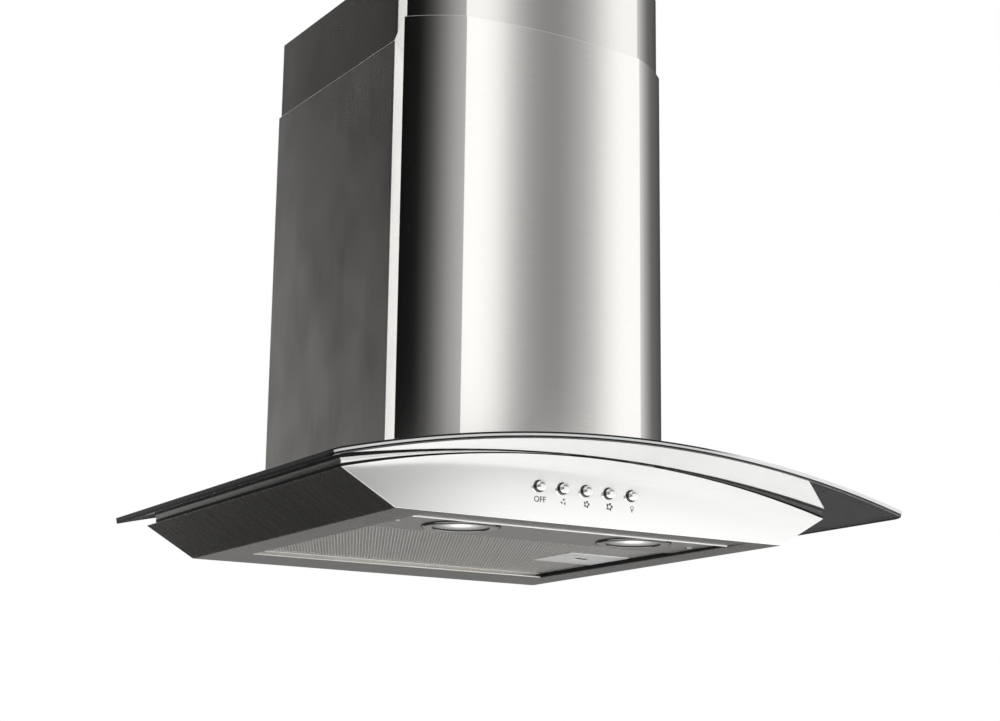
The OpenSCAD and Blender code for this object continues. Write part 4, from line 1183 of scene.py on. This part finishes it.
# %% Helpers for printed marks
MARK_Z = button_z - 11.8 * MM
MARK_SHIFT = 0.9 * MM
ink_y = fascia_low.y - INK / 2


def plate(name, x, z, vertices, radius, width=1.0, height=1.0, turn=0.0):
    """A thin disc or polygon that faces the room."""
    pick()
    bpy.ops.mesh.primitive_cylinder_add(vertices=vertices, radius=radius, depth=INK,
                                        location=(x, ink_y, z),
                                        rotation=(math.radians(90), turn, 0))
    obj = added(name)
    obj.scale = (width, height, 1.0)
    return settle(obj)


def joined(name, parts):
    pick()
    for part in parts:
        part.select_set(True)
    bpy.context.view_layer.objects.active = parts[0]
    bpy.ops.object.join()
    return added(name)


def petals(name, x, z, count, reach):
    """A fan seen from its axis: short slanted blades in a ring, the first near the top."""
    parts = []
    for i in range(count):
        angle = math.radians(80.0 + 360.0 * i / count)
        at_x, at_z = x + math.cos(angle) * reach * 0.66, z + math.sin(angle) * reach * 0.66
        parts.append(plate(name, at_x, at_z, 14, reach * 0.43, 1.0, 0.58, math.radians(50) - angle))
    return joined(name, parts)

# %% The word and the signs
pick()
mark_x = first_x + MARK_SHIFT
bpy.ops.object.text_add(location=(mark_x, ink_y, MARK_Z), rotation=FACING_FRONT)
word = bpy.context.active_object
word.data.body = "OFF"
word.data.size = 7.2 * MM
word.data.align_x = "CENTER"
word.data.align_y = "CENTER"
word.data.extrude = INK / 2
word.data.offset = 0.09 * MM
bpy.ops.object.convert(target="MESH")
marks = [settle(added("mark_off"))]
for name, place, blades, reach in (("mark_low", 1, 3, 3.1), ("mark_mid", 2, 5, 3.3),
                                   ("mark_high", 3, 5, 3.7)):
    marks.append(petals(name, mark_x + place * BUTTON_PITCH, MARK_Z, blades, reach * MM))
lamp_x = mark_x + 4 * BUTTON_PITCH
pick()
LINE_R = 0.3 * MM
bpy.ops.mesh.primitive_torus_add(major_radius=1.6 * MM, minor_radius=LINE_R, major_segments=24,
                                 minor_segments=6, location=(lamp_x, ink_y, MARK_Z + 0.9 * MM),
                                 rotation=FACING_FRONT)
bowl = added("mark_light")
bowl.scale = (1.0, 1.0, INK / (2 * LINE_R))
bulb = [
    settle(bowl),
    plate("mark_light", lamp_x, MARK_Z - 1.5 * MM, 4, 1.1 * MM, 1.0, 1.0, math.radians(45)),
    plate("mark_light", lamp_x, MARK_Z - 2.9 * MM, 4, 0.6 * MM, 1.4, 0.6, math.radians(45)),
]
marks.append(joined("mark_light", bulb))
for mark in marks:
    wear(mark, print_ink)
    hand_over(mark, "hood", "panel_steel")

# %% [markdown]
# The lamp plate is held by two countersunk screws, one at each end. The cross in the head is cut
# by two thin boxes with a Boolean, the way a punch would strike it.

# %% Lamp plate screws
HEAD_T = 1.4 * MM
SHANK_R = 1.9 * MM
screws_low, screws_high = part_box("lamp_plate_screws")
head_r = (screws_high.y - screws_low.y) / 2
screw_x = screws_high.x - head_r
screw_y = (screws_low.y + screws_high.y) / 2
section = [
    (0.0, screws_low.z), (head_r * 0.7, screws_low.z + 0.1 * MM), (head_r, screws_low.z + HEAD_T),
    (SHANK_R, screws_low.z + HEAD_T), (SHANK_R, screws_high.z), (0.0, screws_high.z),
]
for side, x in (("left", -screw_x), ("right", screw_x)):
    screw = spun("screw_" + side, section, (x, screw_y, 0), (0, 0, 1), 40)
    for wide, deep in ((0.55, 3.2), (3.2, 0.55)):
        pick()
        bpy.ops.mesh.primitive_cube_add(size=1.0, location=(x, screw_y, screws_low.z))
        punch = added("punch")
        punch.scale = (wide * MM, deep * MM, 1.8 * MM)
        cut(screw, "DIFFERENCE", settle(punch))
    rounded(screw, 0.08 * MM, angle=30)
    wear(screw, plate_screw)
    hand_over(screw, "hood", "screw_metal", "lamp_plate_screws")

# %% [markdown]
# The world is white to the camera, to reflections and through the glass, and dimmer as a light,
# so the background is white while the hood isn't washed out. The floor is pale paint that gets a
# little glow for the same rays and keeps the hood's shadow. It lies far below, because a hood
# hangs high on its wall and is seen from underneath.

# %% World
scene = bpy.context.scene
scene.view_settings.view_transform = "Standard"
world = bpy.data.worlds.new("studio")
scene.world = world
world.use_nodes = True
tree = world.node_tree
back = tree.nodes["Background"]
back.inputs["Color"].default_value = (1.0, 1.0, 1.0, 1.0)
AMBIENT = 0.55


def looking(nodes, links):
    """One for the camera, reflections and light through glass, and nought for other light."""
    path = nodes.new("ShaderNodeLightPath")
    seen = path.outputs["Is Camera Ray"]
    for kind in ("Is Glossy Ray", "Is Transmission Ray"):
        larger = nodes.new("ShaderNodeMath")
        larger.operation = "MAXIMUM"
        links.new(seen, larger.inputs[0])
        links.new(path.outputs[kind], larger.inputs[1])
        seen = larger.outputs[0]
    return seen


level = tree.nodes.new("ShaderNodeMapRange")
level.inputs["To Min"].default_value = AMBIENT
level.inputs["To Max"].default_value = 1.0
tree.links.new(looking(tree.nodes, tree.links), level.inputs["Value"])
tree.links.new(level.outputs["Result"], back.inputs["Strength"])
print("ambient level", AMBIENT)

# %% Floor
FLOOR_Z = -3.0
FLOOR_SIZE = 40.0
FLOOR_LIFT = 0.35
pick()
bpy.ops.mesh.primitive_plane_add(size=FLOOR_SIZE, location=(0, 0, FLOOR_Z))
floor = added("floor")
pale = Finish("floor_paint", (0.80, 0.80, 0.79), roughness=0.7)
speckle = pale.noise(pale.place(), 6.0, detail=3.0)
pale.tint(speckle, 0.98, 1.0)
pale.set(Emission_Color=(1.0, 1.0, 0.99, 1.0))
lift = pale.remap(looking(pale.nodes, pale.links), 0.0, FLOOR_LIFT)
pale.link(lift, pale.shader.inputs["Emission Strength"])
wear(floor, pale)
print("floor at", FLOOR_Z)

# %% [markdown]
# Steel shows what stands round it, so its light comes from a round wall far outside the view,
# which only reflections see. The wall glows by direction, as a room with a window does: each list
# gives the level at a number of degrees from the front, with left positive. The chimney mirrors
# the upper part of the wall, the front panel the middle part, and the glass and the panel's top
# see the lower parts after one more bounce, so the levels change with height, in bands.

# %% Helpers for the wall of light
WALL_R, WALL_LENGTH, WALL_MID_Z = 6.0, 9.6, 1.8
PEAK = 3.0
WALL_HUE = (1.0, 0.993, 0.98)


def reflections_only(obj):
    """Leaves an object of the stage to reflections alone."""
    for ray in ("camera", "diffuse", "transmission", "shadow", "volume_scatter"):
        setattr(obj, "visible_" + ray, False)


def ramp_round(nodes, links, turn, levels):
    """A ramp that runs once round the wall, from pairs of degrees and level."""
    share = nodes.new("ShaderNodeMapRange")
    share.inputs["From Min"].default_value = -math.pi
    share.inputs["From Max"].default_value = math.pi
    links.new(turn, share.inputs["Value"])
    ramp = nodes.new("ShaderNodeValToRGB")
    links.new(share.outputs["Result"], ramp.inputs["Fac"])
    pairs = [((math.radians(angle) + math.pi) / math.tau, tone / PEAK) for angle, tone in levels]
    return add_stops(ramp, pairs, WALL_HUE)


def glow_wall(name, lowest, *bands):
    """The lowest levels, then bands of two heights, between which other levels take over."""
    pick()
    bpy.ops.mesh.primitive_cylinder_add(vertices=96, radius=WALL_R, depth=WALL_LENGTH,
                                        end_fill_type="NOTHING", location=(0, 0, WALL_MID_Z))
    wall = settle(added(name))
    material = bpy.data.materials.new(name)
    material.use_nodes = True
    nodes, links = material.node_tree.nodes, material.node_tree.links
    nodes.clear()
    where = nodes.new("ShaderNodeTexCoord")
    split = nodes.new("ShaderNodeSeparateXYZ")
    links.new(where.outputs["Object"], split.inputs["Vector"])
    turn = nodes.new("ShaderNodeMath")
    turn.operation = "ARCTAN2"
    for axis, socket in (("X", 0), ("Y", 1)):
        minus = nodes.new("ShaderNodeMath")
        minus.operation = "MULTIPLY"
        minus.inputs[1].default_value = -1.0
        links.new(split.outputs[axis], minus.inputs[0])
        links.new(minus.outputs[0], turn.inputs[socket])
    colour = ramp_round(nodes, links, turn.outputs[0], lowest)
    for band, levels in bands:
        height = nodes.new("ShaderNodeMapRange")
        height.interpolation_type = "SMOOTHSTEP"
        height.inputs["From Min"].default_value, height.inputs["From Max"].default_value = band
        links.new(split.outputs["Z"], height.inputs["Value"])
        higher = ramp_round(nodes, links, turn.outputs[0], levels)
        colour = mixed(nodes, links, height.outputs["Result"], colour, higher)
    glow = nodes.new("ShaderNodeEmission")
    glow.inputs["Strength"].default_value = PEAK
    links.new(colour, glow.inputs["Color"])
    out = nodes.new("ShaderNodeOutputMaterial")
    links.new(glow.outputs["Emission"], out.inputs["Surface"])
    wall.data.materials.append(material)
    reflections_only(wall)

# %% Levels of the wall of light
MID_BAND = (-0.4, -0.2)
PANEL_BAND = (0.2, 0.5)
LOW_BAND = (0.98, 1.06)
HIGH_BAND = (1.2, 2.6)
front_levels = [
    (-180, 1.5), (-172, 1.3), (-164, 0.4), (-149, 0.20), (-117, 0.08), (-98, 0.18), (-90, 0.45),
    (-83, 0.86), (-72, 1.25), (-46, 1.33), (-42, 1.0), (-39.7, 0.74), (-37, 0.54), (-31.7, 0.32),
    (-29, 0.30), (-25, 0.38), (-22, 0.56), (-19.7, 0.82), (-17, 1.2), (-13, 1.4), (0, 1.1),
    (21, 0.58), (27.5, 0.42), (34, 0.22), (40, 0.08), (47, 0.012), (60, 0.005), (120, 0.10),
    (158, 0.30), (169, 3.0), (180, 1.5),
]
low_levels = [
    (-180, 1.3), (-168, 0.5), (-160, 0.38), (-149, 0.34), (-120, 0.2), (-90, 0.6), (-60, 1.1),
    (-28.0, 1.05), (-26.2, 0.70), (-24.9, 0.34), (-23.4, 0.06), (-20, 0.1), (0, 0.5), (30, 0.2),
    (60, 0.03), (120, 0.10), (158, 0.40), (169, 2.5), (180, 1.3),
]


def changed(levels, *spans):
    """The same list with other levels between pairs of angles, given as a function of the old."""
    result = []
    for angle, level in levels:
        for first, last, new in spans:
            if first < angle < last:
                level = new(level)
        result.append((angle, level))
    return result


high_levels = changed(front_levels, (100, 165, lambda level: level * 0.32))
floor_levels = changed(low_levels, (-61, -25, lambda level: 1.6))
mid_levels = changed(low_levels, (-181, -140, lambda level: 0.04), (-61, -15, lambda level: 1.6))
print("levels on the wall:", len(low_levels), "low and", len(front_levels), "above")

# %% Wall of light, seen only in reflections
glow_wall("light_wall", floor_levels, (MID_BAND, mid_levels), (PANEL_BAND, low_levels),
          (LOW_BAND, front_levels), (HIGH_BAND, high_levels))
print("wall radius", WALL_R, "length", WALL_LENGTH)

# %% [markdown]
# Two cards lie below the hood, as a photographer lays paper and black felt on a table. The pale
# one brightens what the polished front mirrors from below, and the dark one gives the canopy's
# underside and sides their depth of tone.

# %% Cards below the hood, seen only in reflections
CARD_Z = -1.43


def low_card(name, x, y, width, depth, finish):
    pick()
    bpy.ops.mesh.primitive_plane_add(size=1.0, location=(x, y, CARD_Z))
    card = added(name)
    card.scale = (width, depth, 1.0)
    settle(card)
    wear(card, finish)
    reflections_only(card)


black = Finish("card_felt", (0.012, 0.0115, 0.011), roughness=0.9)
fibres = black.noise(black.place(), 60.0, detail=3.0)
black.tint(fibres, 0.7, 1.3)
white = Finish("card_paper", (0.8, 0.8, 0.79), roughness=0.9,
               Emission_Color=(1.0, 0.995, 0.98, 1.0))
paper = white.noise(white.place(), 3.0)
white.link(white.remap(paper, 1.2, 1.35), white.shader.inputs["Emission Strength"])
low_card("dark_card", 0.3, 3.1, 7.0, 4.4, black)
low_card("bright_card", 1.6, -3.9, 6.4, 4.4, white)

# %% [markdown]
# Four soft disc lamps light what isn't a mirror. Reflections and the camera don't see them, so
# they leave no hard spots on the steel and no discs in the background.

# %% Soft lamps
def soft_lamp(name, place, aim, size, power):
    pick()
    way = Vector(place) - Vector(aim)
    bpy.ops.object.light_add(type="AREA", radius=size, location=place,
                             rotation=way.to_track_quat("Z", "Y").to_euler())
    lamp = bpy.context.active_object
    lamp.name = name
    lamp.data.shape = "DISK"
    lamp.data.size = size
    lamp.data.energy = power
    lamp.visible_glossy = False
    lamp.visible_camera = False


soft_lamp("front_lamp", (-1.6, -3.2, 1.6), (0, -0.3, 0.1), 2.2, 60.0)
soft_lamp("right_lamp", (3.0, -2.0, 1.0), (0, -0.3, 0.1), 2.0, 25.0)
soft_lamp("back_lamp", (-1.0, 3.0, 1.8), (0, -0.2, 0.2), 2.4, 30.0)
soft_lamp("low_lamp", (-0.4, -1.6, -1.2), (0, -0.3, 0.0), 1.6, 12.0)

# %% [markdown]
# The photographer stood in front and to the left, a little below the hood, and looked up at it.
# The camera's place, aim and roll were measured from the photograph. Three directions make its
# frame: right, up, and backwards along the view.

# %% Camera
CAMERA_PLACE = Vector((-0.9614, -1.8506, -0.2637))
CAMERA_YAW = math.radians(31.19)
CAMERA_PITCH = math.radians(12.8)
CAMERA_ROLL = 0.0126
CAMERA_LENS = 69.29
ahead = Vector((math.sin(CAMERA_YAW) * math.cos(CAMERA_PITCH),
                math.cos(CAMERA_YAW) * math.cos(CAMERA_PITCH), math.sin(CAMERA_PITCH)))
level_right = ahead.cross(Vector((0, 0, 1))).normalized()
level_up = level_right.cross(ahead)
right = level_right * math.cos(CAMERA_ROLL) + level_up * math.sin(CAMERA_ROLL)
up = level_up * math.cos(CAMERA_ROLL) - level_right * math.sin(CAMERA_ROLL)
pick()
bpy.ops.object.camera_add(location=CAMERA_PLACE,
                          rotation=Matrix((right, up, -ahead)).transposed().to_euler())
camera = added("camera")
camera.data.lens = CAMERA_LENS
camera.data.sensor_width = 36.0
camera.data.clip_end = 60.0
scene.camera = camera
print("camera at", [round(c, 3) for c in camera.location])
